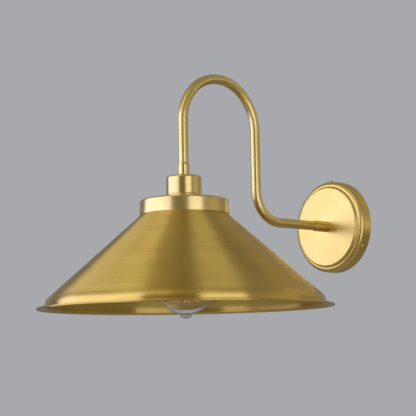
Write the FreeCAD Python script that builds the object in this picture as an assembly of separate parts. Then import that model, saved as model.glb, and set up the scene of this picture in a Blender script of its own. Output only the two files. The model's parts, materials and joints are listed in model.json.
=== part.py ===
"""Gooseneck wall sconce, in millimetres, with +Z up.

The origin is the centre of the mounting plate's back face. The wall is the plane Y = 0 and the
arm leaves it towards -Y, rises, swings over a half circle and comes down on the shade's axis.
"""
import FreeCAD, Part
import math
import os

Vector = FreeCAD.Vector

# Overall layout: centre lines of the arm, measured from the wall and from the arm's lower run
SHADE_REACH = 263.0
RISING_LEG_REACH = 146.0
CROWN_HEIGHT = 172.3
ELBOW_RADIUS = 39.0

# Clearances
SOLDER_GAP = 0.05
THREAD_GAP = 0.05
SCREW_HOLE_GAP = 0.35
RUNNING_GAP = 0.06
LOOSE_GAP = 0.3

# Roundings of small pieces
FINE_ROUNDING = 0.5
CERAMIC_ROUNDING = 0.8

# Arm tube and its turned end sleeves
TUBE_DIAMETER = 12.0
TUBE_WALL = 1.0
FERRULE_WALL = 0.95
FERRULE_TAPER_LENGTH = 3.5
FERRULE_LIP_WALL = 0.3
FERRULE_EDGE_ROUNDING = 0.8
WALL_FERRULE_LENGTH = 24.0
SHADE_FERRULE_LENGTH = 17.0
NIPPLE_GRIP = 7.0

# Hollow threaded nipples, their nuts and washer
NIPPLE_DIAMETER = 10.0
NIPPLE_BORE = 7.2
WALL_NIPPLE_TAIL = 1.2
HOLDER_NIPPLE_TAIL = 1.2
NUT_ACROSS_FLATS = 14.0
WALL_NUT_HEIGHT = 4.0
HOLDER_NUT_HEIGHT = 4.5
LOCK_WASHER_DIAMETER = 17.0
LOCK_WASHER_THICKNESS = 0.8
LOCK_WASHER_TEETH = 12
LOCK_WASHER_TOOTH_DEPTH = 1.4

# Wall rose
ROSE_DIAMETER = 120.0
ROSE_DEPTH = 22.3
ROSE_SHEET = 1.2
ROSE_WALL_GAP = 1.0
ROSE_LEDGE_WIDTH = 7.4
ROSE_STEP_HEIGHT = 3.3
ROSE_STEP_DRAFT = 0.8
ROSE_LEDGE_FALL = 0.6
ROSE_FACE_ROUNDING = 2.0
ROSE_GROOVE_ROUNDING = 0.8
ROSE_SHOULDER_ROUNDING = 3.0

# Mounting plate behind the rose
PLATE_THICKNESS = 1.5
PLATE_EDGE_GAP = 1.8
TAB_WIDTH = 12.0
TAB_FOOT = 8.0
TAB_BEND_ROUNDING = 2.0
TAB_ANGLES = (90.0, 210.0, 330.0)
FIXING_SLOT_SPACING = 80.0
FIXING_SLOT_WIDTH = 5.0
FIXING_SLOT_LENGTH = 12.0
CABLE_ENTRY_HEIGHT = 28.0
CABLE_ENTRY_DIAMETER = 18.0
GROMMET_BORE = 11.0
GROMMET_FLANGE_DIAMETER = 22.0
GROMMET_FLANGE_THICKNESS = 1.8

# Side screws of the rose
SIDE_SCREW_THREAD = 3.8
SIDE_SCREW_LENGTH = 8.0
SIDE_SCREW_HEAD = 6.2
SIDE_SCREW_HEAD_HEIGHT = 2.1
SIDE_SCREW_HEAD_ROUNDING = 1.5
SCREW_SLOT_WIDTH = 0.9
SCREW_SLOT_DEPTH = 0.9

# Terminal block on the plate
POLE_SPACING = 8.0
POLE_COUNT = 3
BLOCK_DEPTH = 12.5
BLOCK_HEIGHT = 16.0
BLOCK_MARGIN = 4.8
BLOCK_ABOVE_PLATE_EDGE = 19.0
BLOCK_BORE_FROM_PLATE = 5.8
SLEEVE_DIAMETER = 5.0
SLEEVE_BORE = 2.6
SLEEVE_RECESS = 1.0
CLAMP_SCREW_DIAMETER = 2.4
CLAMP_SCREW_HEAD = 3.6
CLAMP_SCREW_HEAD_HEIGHT = 1.4
CLAMP_SCREW_OFFSET = 4.0
BLOCK_SCREW_DIAMETER = 2.4
BLOCK_SCREW_HEAD = 4.4
BLOCK_SCREW_HEAD_HEIGHT = 1.6
WIRE_IN_BLOCK = 7.0

# Earth point on the plate
EARTH_BESIDE_BLOCK = 9.2
EARTH_BELOW_BLOCK = 6.0
EARTH_SCREW_DIAMETER = 4.0
EARTH_SCREW_HEAD = 7.6
EARTH_SCREW_HEAD_HEIGHT = 2.4
EARTH_WASHER_DIAMETER = 9.0
EARTH_WASHER_THICKNESS = 2.4

# Wires inside the arm: sideways and upward offsets from the tube's centre line
WIRE_DIAMETER = 2.2
LIVE_OFFSET = (1.3, -0.75)
NEUTRAL_OFFSET = (-1.3, -0.75)
EARTH_OFFSET = (0.0, 1.5)
WIRE_BEND = 4.6
WIRE_TURN_DEPTH = 9.4
EARTH_WIRE_TURN_DEPTH = 5.0

# Lampholder, from the top of its cup down
HOLDER_TOP = 46.0
CUP_DIAMETER = 42.3
CUP_HEIGHT = 22.5
CUP_SHEET_TOP = 1.2
CUP_WALL = 1.0
CUP_ROUNDING = 3.0
LIP_OVERHANG = 0.15
LIP_HEIGHT = 6.3
LIP_ROUNDING = 0.6
SPIGOT_HEIGHT = 5.0
SPIGOT_WALL = 1.2
SKIRT_THREAD_DIAMETER = 39.6
SKIRT_WALL = 1.8
SKIRT_LENGTH = 29.2
SHOULDER_ABOVE_GALLERY = 1.5
CORE_BODY_GAP = 0.3
CORE_FLANGE_HEIGHT = 4.0
CORE_RIM_WALL = 2.4
CORE_RIM_INSET = 2.1
CORE_DECK_TOP = 28.0
CORE_DECK_THICKNESS = 4.0
CORE_BOTTOM = -6.0
TAG_THICKNESS = 0.8
TAG_WIDTH = 5.0
TAG_REACH = 11.0
TAG_DROP = 14.5
TAG_BEND_ROUNDING = 1.2

# Lamp screw shell and contact
LAMP_CAP_CREST_RADIUS = 13.05
LAMP_THREAD_PITCH = 3.63
LAMP_THREAD_DEPTH = 0.7
LAMP_CAP_SHEET = 0.35
SHELL_CLEARANCE = 0.2
SHELL_SHEET = 0.4
SHELL_TURNS = 5
SHELL_BOTTOM = -5.0
SHELL_TOP_LIP = 2.4
SHELL_TOP = 21.2
CONTACT_STRIP_THICKNESS = 0.6
CONTACT_STRIP_WIDTH = 5.0
CONTACT_SPRING_DROP = 2.2
CONTACT_SPRING_RUN = 1.6
CONTACT_BEND_ROUNDING = 1.0
CONTACT_GAP = 0.15

# Terminals on the lampholder's core
TERMINAL_CENTRE = 11.0
TERMINAL_SIZE = (6.0, 7.0, 8.0)
TERMINAL_STEM_DIAMETER = 2.2
TERMINAL_STEM_OFFSET = 0.9
TERMINAL_WIRE_HEIGHT = 3.2
TERMINAL_WIRE_GRIP = 4.0
TERMINAL_SCREW_DIAMETER = 2.8
TERMINAL_SCREW_HEAD = 4.6
TERMINAL_SCREW_HEAD_HEIGHT = 2.0

# Gallery ring that carries the shade, and the threaded ring under it
COLLAR_TOP_RADIUS = 52.6
COLLAR_BOTTOM_RADIUS = 53.4
COLLAR_HEIGHT = 18.2
COLLAR_PLATE = 1.4
COLLAR_BORE_RADIUS = 51.3
COLLAR_TOP_ROUNDING = 2.6
COLLAR_EDGE_ROUNDING = 0.6
SHADE_RING_DIAMETER = 54.0
SHADE_RING_HEIGHT = 5.0
SHADE_RING_NOTCHES = 16
SHADE_RING_NOTCH_DIAMETER = 3.0

# Shade
SHADE_WALL_RADIUS = 165.0
SHADE_BRIM_WIDTH = 10.0
SHADE_CONE_DROP = 100.2
SHADE_UPRIGHT = 8.6
SHADE_SHEET = 0.9
SHADE_SEAT_INSET = 1.0
SHADE_NECK_HEIGHT = 10.0
SHADE_SHOULDER_ROUNDING = 12.0
SHADE_BRIM_ROUNDING = 2.0
BRIM_BEAD_RADIUS = 1.15

# Bulb
BULB_RADIUS = 31.6
BULB_LENGTH = 144.3
BULB_GLASS = 0.8
BULB_TIP_LENGTH = 1.8
BULB_TIP_RADIUS = 2.0
BULB_CAP_LENGTH = 28.0
BULB_CAP_STRAIGHT = 4.0
BULB_CAP_TURNS = 5
BULB_CAP_CONE_HEIGHT = 1.6
BULB_CONTACT_RADIUS = 4.6
BULB_CONTACT_HEIGHT = 1.0
BULB_INSULATOR_HEIGHT = 2.4
BULB_INSULATOR_BASE_RADIUS = 10.4
BULB_NECK_IN_CAP = 16.0
BULB_NECK_BELOW_CAP = 1.0
CEMENT_GAP = 0.1
BULB_NECK_ROUNDING = 9.0
STEM_FLARE_RADIUS = 5.6
STEM_WALL = 0.8
STEM_FLARE_LENGTH = 7.0
STEM_FLARE_ROUNDING = 3.0
STEM_LENGTH = 44.0
STEM_PRESS_LENGTH = 9.0
STEM_ROD_RADIUS = 1.3
STEM_BUTTON_RADIUS = 2.2
STEM_BUTTON_HEIGHT = 3.0
FILAMENT_RADIUS = 0.28
FILAMENT_TOP_HEIGHT = -50.0
FILAMENT_BOTTOM_HEIGHT = -103.0
FILAMENT_TOP_RING = 8.0
FILAMENT_BOTTOM_RING = 15.0
FILAMENT_LOOPS = 7
FILAMENT_TOP_BEND = 0.8
FILAMENT_BOTTOM_BEND = 1.5
FILAMENT_GAP_ANGLE = 24.0
HOOK_GAP = 0.06
SUPPORT_RADIUS = 0.22

# Heights and radii that follow from the values above
ARCH_RADIUS = (SHADE_REACH - RISING_LEG_REACH) / 2.0
TUBE_RADIUS = TUBE_DIAMETER / 2.0
FERRULE_RADIUS = TUBE_RADIUS + SOLDER_GAP + FERRULE_WALL
NIPPLE_RADIUS = NIPPLE_DIAMETER / 2.0
NIPPLE_HOLE_RADIUS = NIPPLE_RADIUS + THREAD_GAP
NUT_CORNER_RADIUS = NUT_ACROSS_FLATS / math.sqrt(3.0)
WALL_TUBE_END = ROSE_DEPTH + NIPPLE_GRIP
SHADE_TUBE_END = HOLDER_TOP + NIPPLE_GRIP
ROSE_RADIUS = ROSE_DIAMETER / 2.0
ROSE_FACE_RADIUS = ROSE_RADIUS - ROSE_LEDGE_WIDTH
ROSE_BACK_OF_FACE = ROSE_DEPTH - ROSE_SHEET
ROSE_LEDGE = ROSE_DEPTH - ROSE_STEP_HEIGHT
ROSE_WALL_TOP = ROSE_LEDGE - ROSE_LEDGE_FALL
WALL_NIPPLE_END = ROSE_BACK_OF_FACE - LOCK_WASHER_THICKNESS - WALL_NUT_HEIGHT - WALL_NIPPLE_TAIL
PLATE_RADIUS = ROSE_RADIUS - ROSE_SHEET - PLATE_EDGE_GAP
SIDE_SCREW_FROM_WALL = (ROSE_WALL_GAP + ROSE_WALL_TOP) / 2.0
TAB_RISE = ROSE_WALL_TOP - ROSE_SHOULDER_ROUNDING - LOOSE_GAP
TAB_OUTER_RADIUS = math.sqrt((ROSE_RADIUS - ROSE_SHEET - LOOSE_GAP) ** 2 - TAB_WIDTH ** 2 / 4.0)
SKIRT_TOP_OF_LIP = HOLDER_TOP - CUP_HEIGHT
GALLERY_TOP = SKIRT_TOP_OF_LIP - LIP_HEIGHT
COLLAR_BOTTOM = GALLERY_TOP - COLLAR_HEIGHT
GALLERY_UNDERSIDE = GALLERY_TOP - COLLAR_PLATE
SKIRT_RADIUS = SKIRT_THREAD_DIAMETER / 2.0
SKIRT_BOTTOM = GALLERY_TOP - SKIRT_LENGTH
CUP_UNDERSIDE = HOLDER_TOP - CUP_SHEET_TOP
CUP_BORE_RADIUS = CUP_DIAMETER / 2.0 - CUP_WALL
LIP_RADIUS = CUP_DIAMETER / 2.0 + LIP_OVERHANG
SPIGOT_RADIUS = CUP_BORE_RADIUS - THREAD_GAP
SPIGOT_BORE_RADIUS = SPIGOT_RADIUS - SPIGOT_WALL
SKIRT_BORE_RADIUS = SKIRT_RADIUS - SKIRT_WALL
CORE_SHOULDER = GALLERY_TOP + SHOULDER_ABOVE_GALLERY
CORE_RADIUS = SKIRT_BORE_RADIUS - CORE_BODY_GAP
CORE_FLANGE_RADIUS = SPIGOT_BORE_RADIUS - SOLDER_GAP
CORE_RIM_RADIUS = CUP_BORE_RADIUS - CORE_RIM_INSET
CORE_DECK_UNDERSIDE = CORE_DECK_TOP - CORE_DECK_THICKNESS
TAG_UNDERSIDE = CUP_UNDERSIDE - TAG_THICKNESS
HOLDER_NIPPLE_END = TAG_UNDERSIDE - HOLDER_NUT_HEIGHT - HOLDER_NIPPLE_TAIL
TERMINAL_WIRE_LEVEL = CORE_DECK_TOP + TERMINAL_WIRE_HEIGHT
SHELL_INNER_RADIUS = LAMP_CAP_CREST_RADIUS + SHELL_CLEARANCE
SHELL_OUTER_RADIUS = SHELL_INNER_RADIUS + LAMP_THREAD_DEPTH + SHELL_SHEET
CORE_BORE_RADIUS = SHELL_OUTER_RADIUS + SOLDER_GAP
SHADE_NECK_RADIUS = COLLAR_BORE_RADIUS - SOLDER_GAP
SHADE_CONE_END = COLLAR_BOTTOM - SHADE_CONE_DROP
SHADE_BRIM_RADIUS = SHADE_WALL_RADIUS + SHADE_BRIM_WIDTH
BRIM_TOP = SHADE_CONE_END - SHADE_UPRIGHT
BRIM_MIDDLE = BRIM_TOP - SHADE_SHEET / 2.0
CONTACT_UNDERSIDE = CORE_DECK_UNDERSIDE - CONTACT_STRIP_THICKNESS - CONTACT_SPRING_DROP
BULB_TOP = CONTACT_UNDERSIDE - CONTACT_GAP
BULB_CAP_BOTTOM = BULB_TOP - BULB_CAP_LENGTH
BULB_BOTTOM = BULB_TOP - BULB_LENGTH
BULB_CENTRE = BULB_BOTTOM + BULB_TIP_LENGTH + BULB_RADIUS
BULB_INSULATOR_TOP = BULB_TOP - BULB_CONTACT_HEIGHT
BULB_SHELL_TOP = BULB_INSULATOR_TOP - BULB_INSULATOR_HEIGHT
CAP_INNER_RADIUS = LAMP_CAP_CREST_RADIUS - LAMP_THREAD_DEPTH - LAMP_CAP_SHEET
NECK_RADIUS = CAP_INNER_RADIUS - CEMENT_GAP
NECK_TOP = BULB_CAP_BOTTOM + BULB_NECK_IN_CAP
NECK_END = BULB_CAP_BOTTOM - BULB_NECK_BELOW_CAP
BLOCK_BORE_DEPTH = PLATE_THICKNESS + BLOCK_BORE_FROM_PLATE
BLOCK_FRONT = PLATE_THICKNESS + BLOCK_DEPTH
BLOCK_BOTTOM = BLOCK_ABOVE_PLATE_EDGE - PLATE_RADIUS
BLOCK_TOP = BLOCK_BOTTOM + BLOCK_HEIGHT
BLOCK_CENTRE_HEIGHT = BLOCK_BOTTOM + BLOCK_HEIGHT / 2.0
BLOCK_WIDTH = POLE_SPACING * (POLE_COUNT - 1) + 2.0 * BLOCK_MARGIN
EARTH_POINT = (-BLOCK_WIDTH / 2.0 - EARTH_BESIDE_BLOCK, BLOCK_BOTTOM - EARTH_BELOW_BLOCK)
POLES = [POLE_SPACING * (index - (POLE_COUNT - 1) / 2.0) for index in range(POLE_COUNT)]
WIRE_RADIUS = WIRE_DIAMETER / 2.0


# Geometry helpers

def unit(vector):
    """The vector at length one."""
    return vector * (1.0 / vector.Length)


def rounded_edges(corners, closed):
    """Lines and tangent arcs through corners given as (point, rounding radius)."""
    count = len(corners)
    pieces = []
    for index, (point, radius) in enumerate(corners):
        at_end = not closed and index in (0, count - 1)
        if radius <= 0.0 or at_end:
            pieces.append((point, None, point))
            continue
        back = unit(corners[index - 1][0] - point)
        ahead = unit(corners[(index + 1) % count][0] - point)
        half_angle = back.getAngle(ahead) / 2.0
        setback = radius / math.tan(half_angle)
        centre = point + unit(back + ahead) * (radius / math.sin(half_angle))
        middle = centre - unit(back + ahead) * radius
        pieces.append((point + back * setback, middle, point + ahead * setback))
    edges = []
    for index, (start, middle, end) in enumerate(pieces):
        if middle is not None:
            edges.append(Part.Arc(start, middle, end).toShape())
        if index == count - 1 and not closed:
            break
        following = pieces[(index + 1) % count][0]
        if following.distanceToPoint(end) > 1e-6:
            edges.append(Part.LineSegment(end, following).toShape())
    return edges


def turned(outline):
    """Solid of revolution about local Z from corners (radius, height[, rounding])."""
    corners = [(Vector(c[0], 0, c[1]), c[2] if len(c) > 2 else 0.0) for c in outline]
    face = Part.Face(Part.Wire(rounded_edges(corners, True)))
    return face.revolve(Vector(0, 0, 0), Vector(0, 0, 1), 360)


def sheet_outline(outer, thickness):
    """Close an outer line of corners with its offset, thickness to the right of the way it runs."""
    points = [Vector(c[0], c[1], 0) for c in outer]
    roundings = [c[2] if len(c) > 2 else 0.0 for c in outer]
    ways = [unit(b - a) for a, b in zip(points, points[1:])]
    sides = [Vector(way.y, -way.x, 0) for way in ways]
    inner = []
    for index, point in enumerate(points):
        first = sides[max(index - 1, 0)]
        second = sides[min(index, len(sides) - 1)]
        shift = (first + second) * (thickness / (1.0 + first.dot(second)))
        rounding = roundings[index]
        if rounding > 0.0:
            turn = ways[index - 1].cross(ways[index]).z
            rounding = rounding + thickness if turn > 0 else max(rounding - thickness, 0.0)
        inner.append((point.x + shift.x, point.y + shift.y, rounding))
    return list(outer) + inner[::-1]


def spun(outer, thickness):
    """Sheet shell of revolution from the corners of its outer line."""
    return turned(sheet_outline(outer, thickness))


def cylinder(radius, bottom, top):
    """Cylinder on local Z."""
    return Part.makeCylinder(radius, top - bottom, Vector(0, 0, bottom))


def tube(radius, bore_radius, bottom, top):
    """Hollow cylinder on local Z."""
    return cylinder(radius, bottom, top).cut(cylinder(bore_radius, bottom, top))


def block(low, high):
    """Box between two corners."""
    size = [b - a for a, b in zip(low, high)]
    return Part.makeBox(size[0], size[1], size[2], Vector(*low))


def prism(outline, low, high):
    """Straight prism along local Z of corners (x, y[, rounding])."""
    corners = [(Vector(c[0], c[1], low), c[2] if len(c) > 2 else 0.0) for c in outline]
    face = Part.Face(Part.Wire(rounded_edges(corners, True)))
    return face.extrude(Vector(0, 0, high - low))


def hexagon(across_flats, bottom, top):
    """Hexagonal prism on local Z with corners on local X."""
    corner = across_flats / math.sqrt(3.0)
    angles = [math.radians(60.0 * step) for step in range(6)]
    return prism([(corner * math.cos(a), corner * math.sin(a)) for a in angles], bottom, top)


def swept(corners, radius):
    """Round bar along a path of corners (point, bend radius)."""
    edges = rounded_edges(corners, False)
    start = corners[0][0]
    way = unit(corners[1][0] - start)
    section = Part.Wire(Part.Circle(start, way, radius).toShape())
    return Part.Wire(edges).makePipeShell([section], True, False)


def placed(shape, move=Vector(0, 0, 0), axis=Vector(0, 0, 1), angle=0.0):
    """Copy of a shape turned about an axis through the origin, then moved."""
    copy = shape.copy()
    copy.rotate(Vector(0, 0, 0), axis, angle)
    copy.translate(move)
    return copy


def around(shape, count, first_angle=0.0):
    """Copies of a shape spread evenly about local Z."""
    axis = Vector(0, 0, 1)
    return [placed(shape, axis=axis, angle=first_angle + 360.0 * i / count) for i in range(count)]


def from_wall(shape):
    """Turn a piece made on local Z so that its height runs away from the wall."""
    return placed(shape, axis=Vector(1, 0, 0), angle=90.0)


def on_shade_axis(shape):
    """Move a piece made on local Z onto the shade's axis."""
    return placed(shape, move=Vector(0, -SHADE_REACH, 0))


def slotted_screw(shank_radius, length, head_radius, head_height, rounding):
    """Screw along local Z, its head above Z = 0, its shank below."""
    head = turned([(0, 0), (head_radius, 0), (head_radius, head_height, rounding), (0, head_height)])
    slot_low = (-head_radius, -SCREW_SLOT_WIDTH / 2.0, head_height - SCREW_SLOT_DEPTH)
    slot_high = (head_radius, SCREW_SLOT_WIDTH / 2.0, head_height)
    head = head.cut(block(slot_low, slot_high))
    return head.fuse(cylinder(shank_radius, -length, 0)).removeSplitter()


# The arm's centre line

def arm_route(side, lift, from_y, to_z):
    """Corners of a line in the arm, offset sideways and towards the upper side of the lower run."""
    rising = -RISING_LEG_REACH + lift
    falling = -SHADE_REACH - lift
    crown = CROWN_HEIGHT + lift
    return [
        (Vector(side, from_y, lift), 0.0),
        (Vector(side, rising, lift), ELBOW_RADIUS - lift),
        (Vector(side, rising, crown), ARCH_RADIUS + lift),
        (Vector(side, falling, crown), ARCH_RADIUS + lift),
        (Vector(side, falling, to_z), 0.0),
    ]


def make_arm_tube():
    """Bent tube, soldered into the two ferrules."""
    route = arm_route(0.0, 0.0, -WALL_TUBE_END, SHADE_TUBE_END)
    bore = swept(route, TUBE_RADIUS - TUBE_WALL)
    return swept(route, TUBE_RADIUS).cut(bore)


def make_ferrule(length):
    """Turned sleeve: screwed on its nipple at the bottom, bored for the tube at the top."""
    socket_radius = TUBE_RADIUS + SOLDER_GAP
    return turned([
        (NIPPLE_HOLE_RADIUS, 0),
        (FERRULE_RADIUS, 0, FERRULE_EDGE_ROUNDING),
        (FERRULE_RADIUS, length - FERRULE_TAPER_LENGTH),
        (socket_radius + FERRULE_LIP_WALL, length),
        (socket_radius, length),
        (socket_radius, NIPPLE_GRIP),
        (NIPPLE_HOLE_RADIUS, NIPPLE_GRIP),
    ])


def make_nut(bottom, top):
    """Hexagon nut with rounded corners on a nipple."""
    blank = turned([
        (0, bottom), (NUT_CORNER_RADIUS, bottom, FINE_ROUNDING),
        (NUT_CORNER_RADIUS, top, FINE_ROUNDING), (0, top),
    ])
    nut = hexagon(NUT_ACROSS_FLATS, bottom, top).common(blank)
    return nut.cut(cylinder(NIPPLE_HOLE_RADIUS, bottom, top))


# Wall side

def make_wall_rose():
    """Pressed cover with a raised face, a narrow ledge and a rounded shoulder."""
    rose = spun([
        (NIPPLE_HOLE_RADIUS, ROSE_DEPTH),
        (ROSE_FACE_RADIUS, ROSE_DEPTH, ROSE_FACE_ROUNDING),
        (ROSE_FACE_RADIUS + ROSE_STEP_DRAFT, ROSE_LEDGE, ROSE_GROOVE_ROUNDING),
        (ROSE_RADIUS, ROSE_WALL_TOP, ROSE_SHOULDER_ROUNDING),
        (ROSE_RADIUS, ROSE_WALL_GAP),
    ], ROSE_SHEET)
    hole_radius = SIDE_SCREW_THREAD / 2.0 + SCREW_HOLE_GAP
    for angle in TAB_ANGLES:
        rose = rose.cut(side_drill(hole_radius, angle))
    return from_wall(rose)


def side_drill(radius, angle):
    """Drill along a radius of the rose at the side screws' height."""
    drill = placed(cylinder(radius, 0, 2.0 * ROSE_RADIUS), axis=Vector(0, 1, 0), angle=90.0)
    drill = placed(drill, axis=Vector(0, 0, 1), angle=angle)
    drill = placed(drill, move=Vector(0, 0, SIDE_SCREW_FROM_WALL))
    keep = tube(2.0 * ROSE_RADIUS, PLATE_RADIUS - TAB_FOOT, 0, ROSE_DEPTH)
    return drill.common(keep)


def make_side_screws():
    """Round-headed screws through the rose's side into the plate's tabs."""
    screw = slotted_screw(
        SIDE_SCREW_THREAD / 2.0, SIDE_SCREW_LENGTH, SIDE_SCREW_HEAD / 2.0,
        SIDE_SCREW_HEAD_HEIGHT, SIDE_SCREW_HEAD_ROUNDING,
    )
    lying = placed(screw, axis=Vector(0, 1, 0), angle=90.0)
    seated = placed(lying, move=Vector(ROSE_RADIUS, 0, SIDE_SCREW_FROM_WALL))
    turns = [placed(seated, axis=Vector(0, 0, 1), angle=angle) for angle in TAB_ANGLES]
    return Part.makeCompound([from_wall(piece) for piece in turns])


def make_mounting_plate():
    """Steel disc with bent tabs, fixing slots, cable entry and tapped holes."""
    plate = cylinder(PLATE_RADIUS, 0, PLATE_THICKNESS)
    foot = TAB_OUTER_RADIUS - PLATE_THICKNESS - TAB_FOOT
    profile = sheet_outline([
        (foot, 0), (TAB_OUTER_RADIUS, 0, TAB_BEND_ROUNDING), (TAB_OUTER_RADIUS, TAB_RISE),
    ], -PLATE_THICKNESS)
    strip = prism(profile, -TAB_WIDTH / 2.0, TAB_WIDTH / 2.0)
    tab = placed(strip, axis=Vector(1, 0, 0), angle=90.0)
    for angle in TAB_ANGLES:
        plate = plate.fuse(placed(tab, axis=Vector(0, 0, 1), angle=angle))
    plate = plate.removeSplitter()
    for angle in TAB_ANGLES:
        plate = plate.cut(side_drill(SIDE_SCREW_THREAD / 2.0 + THREAD_GAP, angle))
    plate = from_wall(plate)
    for side in (-1.0, 1.0):
        plate = plate.cut(fixing_slot(side * FIXING_SLOT_SPACING / 2.0))
    plate = plate.cut(wall_drill(CABLE_ENTRY_DIAMETER / 2.0, 0, CABLE_ENTRY_HEIGHT))
    plate = plate.cut(wall_drill(EARTH_SCREW_DIAMETER / 2.0 + THREAD_GAP, *EARTH_POINT))
    for x in block_screw_places():
        tapped = BLOCK_SCREW_DIAMETER / 2.0 + THREAD_GAP
        plate = plate.cut(wall_drill(tapped, x, BLOCK_CENTRE_HEIGHT))
    return plate


def fixing_slot(x):
    """Slot cutter for a wall screw, long in X."""
    half_run = (FIXING_SLOT_LENGTH - FIXING_SLOT_WIDTH) / 2.0
    radius = FIXING_SLOT_WIDTH / 2.0
    middle = block((x - half_run, -PLATE_THICKNESS, -radius), (x + half_run, 0, radius))
    ends = [wall_drill(radius, x + end * half_run, 0.0) for end in (-1.0, 1.0)]
    return middle.fuse(ends)


def wall_drill(radius, x, z):
    """Drill through the mounting plate."""
    return placed(from_wall(cylinder(radius, 0, PLATE_THICKNESS)), move=Vector(x, 0, z))


def make_cable_grommet():
    """Flanged rubber bush in the cable entry, flush with the plate's back."""
    grommet = turned([
        (GROMMET_BORE / 2.0, 0),
        (CABLE_ENTRY_DIAMETER / 2.0 - SOLDER_GAP, 0),
        (CABLE_ENTRY_DIAMETER / 2.0 - SOLDER_GAP, PLATE_THICKNESS),
        (GROMMET_FLANGE_DIAMETER / 2.0, PLATE_THICKNESS),
        (GROMMET_FLANGE_DIAMETER / 2.0, PLATE_THICKNESS + GROMMET_FLANGE_THICKNESS, FINE_ROUNDING),
        (GROMMET_BORE / 2.0, PLATE_THICKNESS + GROMMET_FLANGE_THICKNESS, FINE_ROUNDING),
    ])
    return placed(from_wall(grommet), move=Vector(0, 0, CABLE_ENTRY_HEIGHT))


def block_screw_places():
    """X of the two screws that hold the terminal block, halfway between its poles."""
    return [-POLE_SPACING / 2.0, POLE_SPACING / 2.0]


def make_terminal_block():
    """Insulating body with a bore for each pole and wells for its screws."""
    half = BLOCK_WIDTH / 2.0
    body = block((-half, -BLOCK_FRONT, BLOCK_BOTTOM), (half, -PLATE_THICKNESS, BLOCK_TOP))
    for x in POLES:
        bore = Vector(x, -BLOCK_BORE_DEPTH, 0)
        sleeve_hole = cylinder(SLEEVE_DIAMETER / 2.0 + SOLDER_GAP, BLOCK_BOTTOM, BLOCK_TOP)
        body = body.cut(placed(sleeve_hole, move=bore))
        for z in clamp_screw_heights():
            well_radius = CLAMP_SCREW_HEAD / 2.0 + LOOSE_GAP
            well = from_wall(cylinder(well_radius, BLOCK_BORE_DEPTH, BLOCK_FRONT))
            body = body.cut(placed(well, move=Vector(x, 0, z)))
    shank_radius = BLOCK_SCREW_DIAMETER / 2.0 + THREAD_GAP
    shank = from_wall(cylinder(shank_radius, PLATE_THICKNESS, BLOCK_FRONT))
    for x in block_screw_places():
        body = body.cut(placed(shank, move=Vector(x, 0, BLOCK_CENTRE_HEIGHT)))
    return body


def clamp_screw_heights():
    """Z of the two clamp screws of a pole."""
    return [BLOCK_CENTRE_HEIGHT - CLAMP_SCREW_OFFSET, BLOCK_CENTRE_HEIGHT + CLAMP_SCREW_OFFSET]


def make_terminal_sleeves():
    """Brass tubes in the block, one per pole, tapped for the clamp screws."""
    bottom = BLOCK_BOTTOM + SLEEVE_RECESS
    top = BLOCK_TOP - SLEEVE_RECESS
    sleeve = tube(SLEEVE_DIAMETER / 2.0, SLEEVE_BORE / 2.0, bottom, top)
    tapped_radius = CLAMP_SCREW_DIAMETER / 2.0 + THREAD_GAP
    for z in clamp_screw_heights():
        tapped = placed(from_wall(cylinder(tapped_radius, 0, SLEEVE_DIAMETER)), move=Vector(0, 0, z))
        sleeve = sleeve.cut(tapped)
    return Part.makeCompound([placed(sleeve, move=Vector(x, -BLOCK_BORE_DEPTH, 0)) for x in POLES])


def make_clamp_screws():
    """Screws that press the wires in the sleeves."""
    length = BLOCK_FRONT - CLAMP_SCREW_HEAD_HEIGHT - BLOCK_BORE_DEPTH - WIRE_RADIUS - SOLDER_GAP
    screw = slotted_screw(
        CLAMP_SCREW_DIAMETER / 2.0, length, CLAMP_SCREW_HEAD / 2.0, CLAMP_SCREW_HEAD_HEIGHT,
        FINE_ROUNDING,
    )
    seat = BLOCK_FRONT - CLAMP_SCREW_HEAD_HEIGHT
    seated = from_wall(placed(screw, move=Vector(0, 0, seat)))
    places = [Vector(x, 0, z) for x in POLES for z in clamp_screw_heights()]
    return Part.makeCompound([placed(seated, move=place) for place in places])


def make_block_screws():
    """Screws that hold the terminal block to the plate."""
    screw = slotted_screw(
        BLOCK_SCREW_DIAMETER / 2.0, BLOCK_FRONT, BLOCK_SCREW_HEAD / 2.0, BLOCK_SCREW_HEAD_HEIGHT,
        FINE_ROUNDING,
    )
    seated = from_wall(placed(screw, move=Vector(0, 0, BLOCK_FRONT)))
    places = [Vector(x, 0, BLOCK_CENTRE_HEIGHT) for x in block_screw_places()]
    return Part.makeCompound([placed(seated, move=place) for place in places])


def make_earth_screw():
    """Screw of the plate's earth point."""
    seat = PLATE_THICKNESS + EARTH_WASHER_THICKNESS
    screw = slotted_screw(
        EARTH_SCREW_DIAMETER / 2.0, seat, EARTH_SCREW_HEAD / 2.0, EARTH_SCREW_HEAD_HEIGHT,
        FINE_ROUNDING,
    )
    seated = from_wall(placed(screw, move=Vector(0, 0, seat)))
    return placed(seated, move=Vector(EARTH_POINT[0], 0, EARTH_POINT[1]))


def make_earth_washer():
    """Washer that takes the earth link under the earth screw."""
    bore_radius = EARTH_SCREW_DIAMETER / 2.0 + SOLDER_GAP
    top = PLATE_THICKNESS + EARTH_WASHER_THICKNESS
    washer = tube(EARTH_WASHER_DIAMETER / 2.0, bore_radius, PLATE_THICKNESS, top)
    return placed(from_wall(washer), move=Vector(EARTH_POINT[0], 0, EARTH_POINT[1]))


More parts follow.
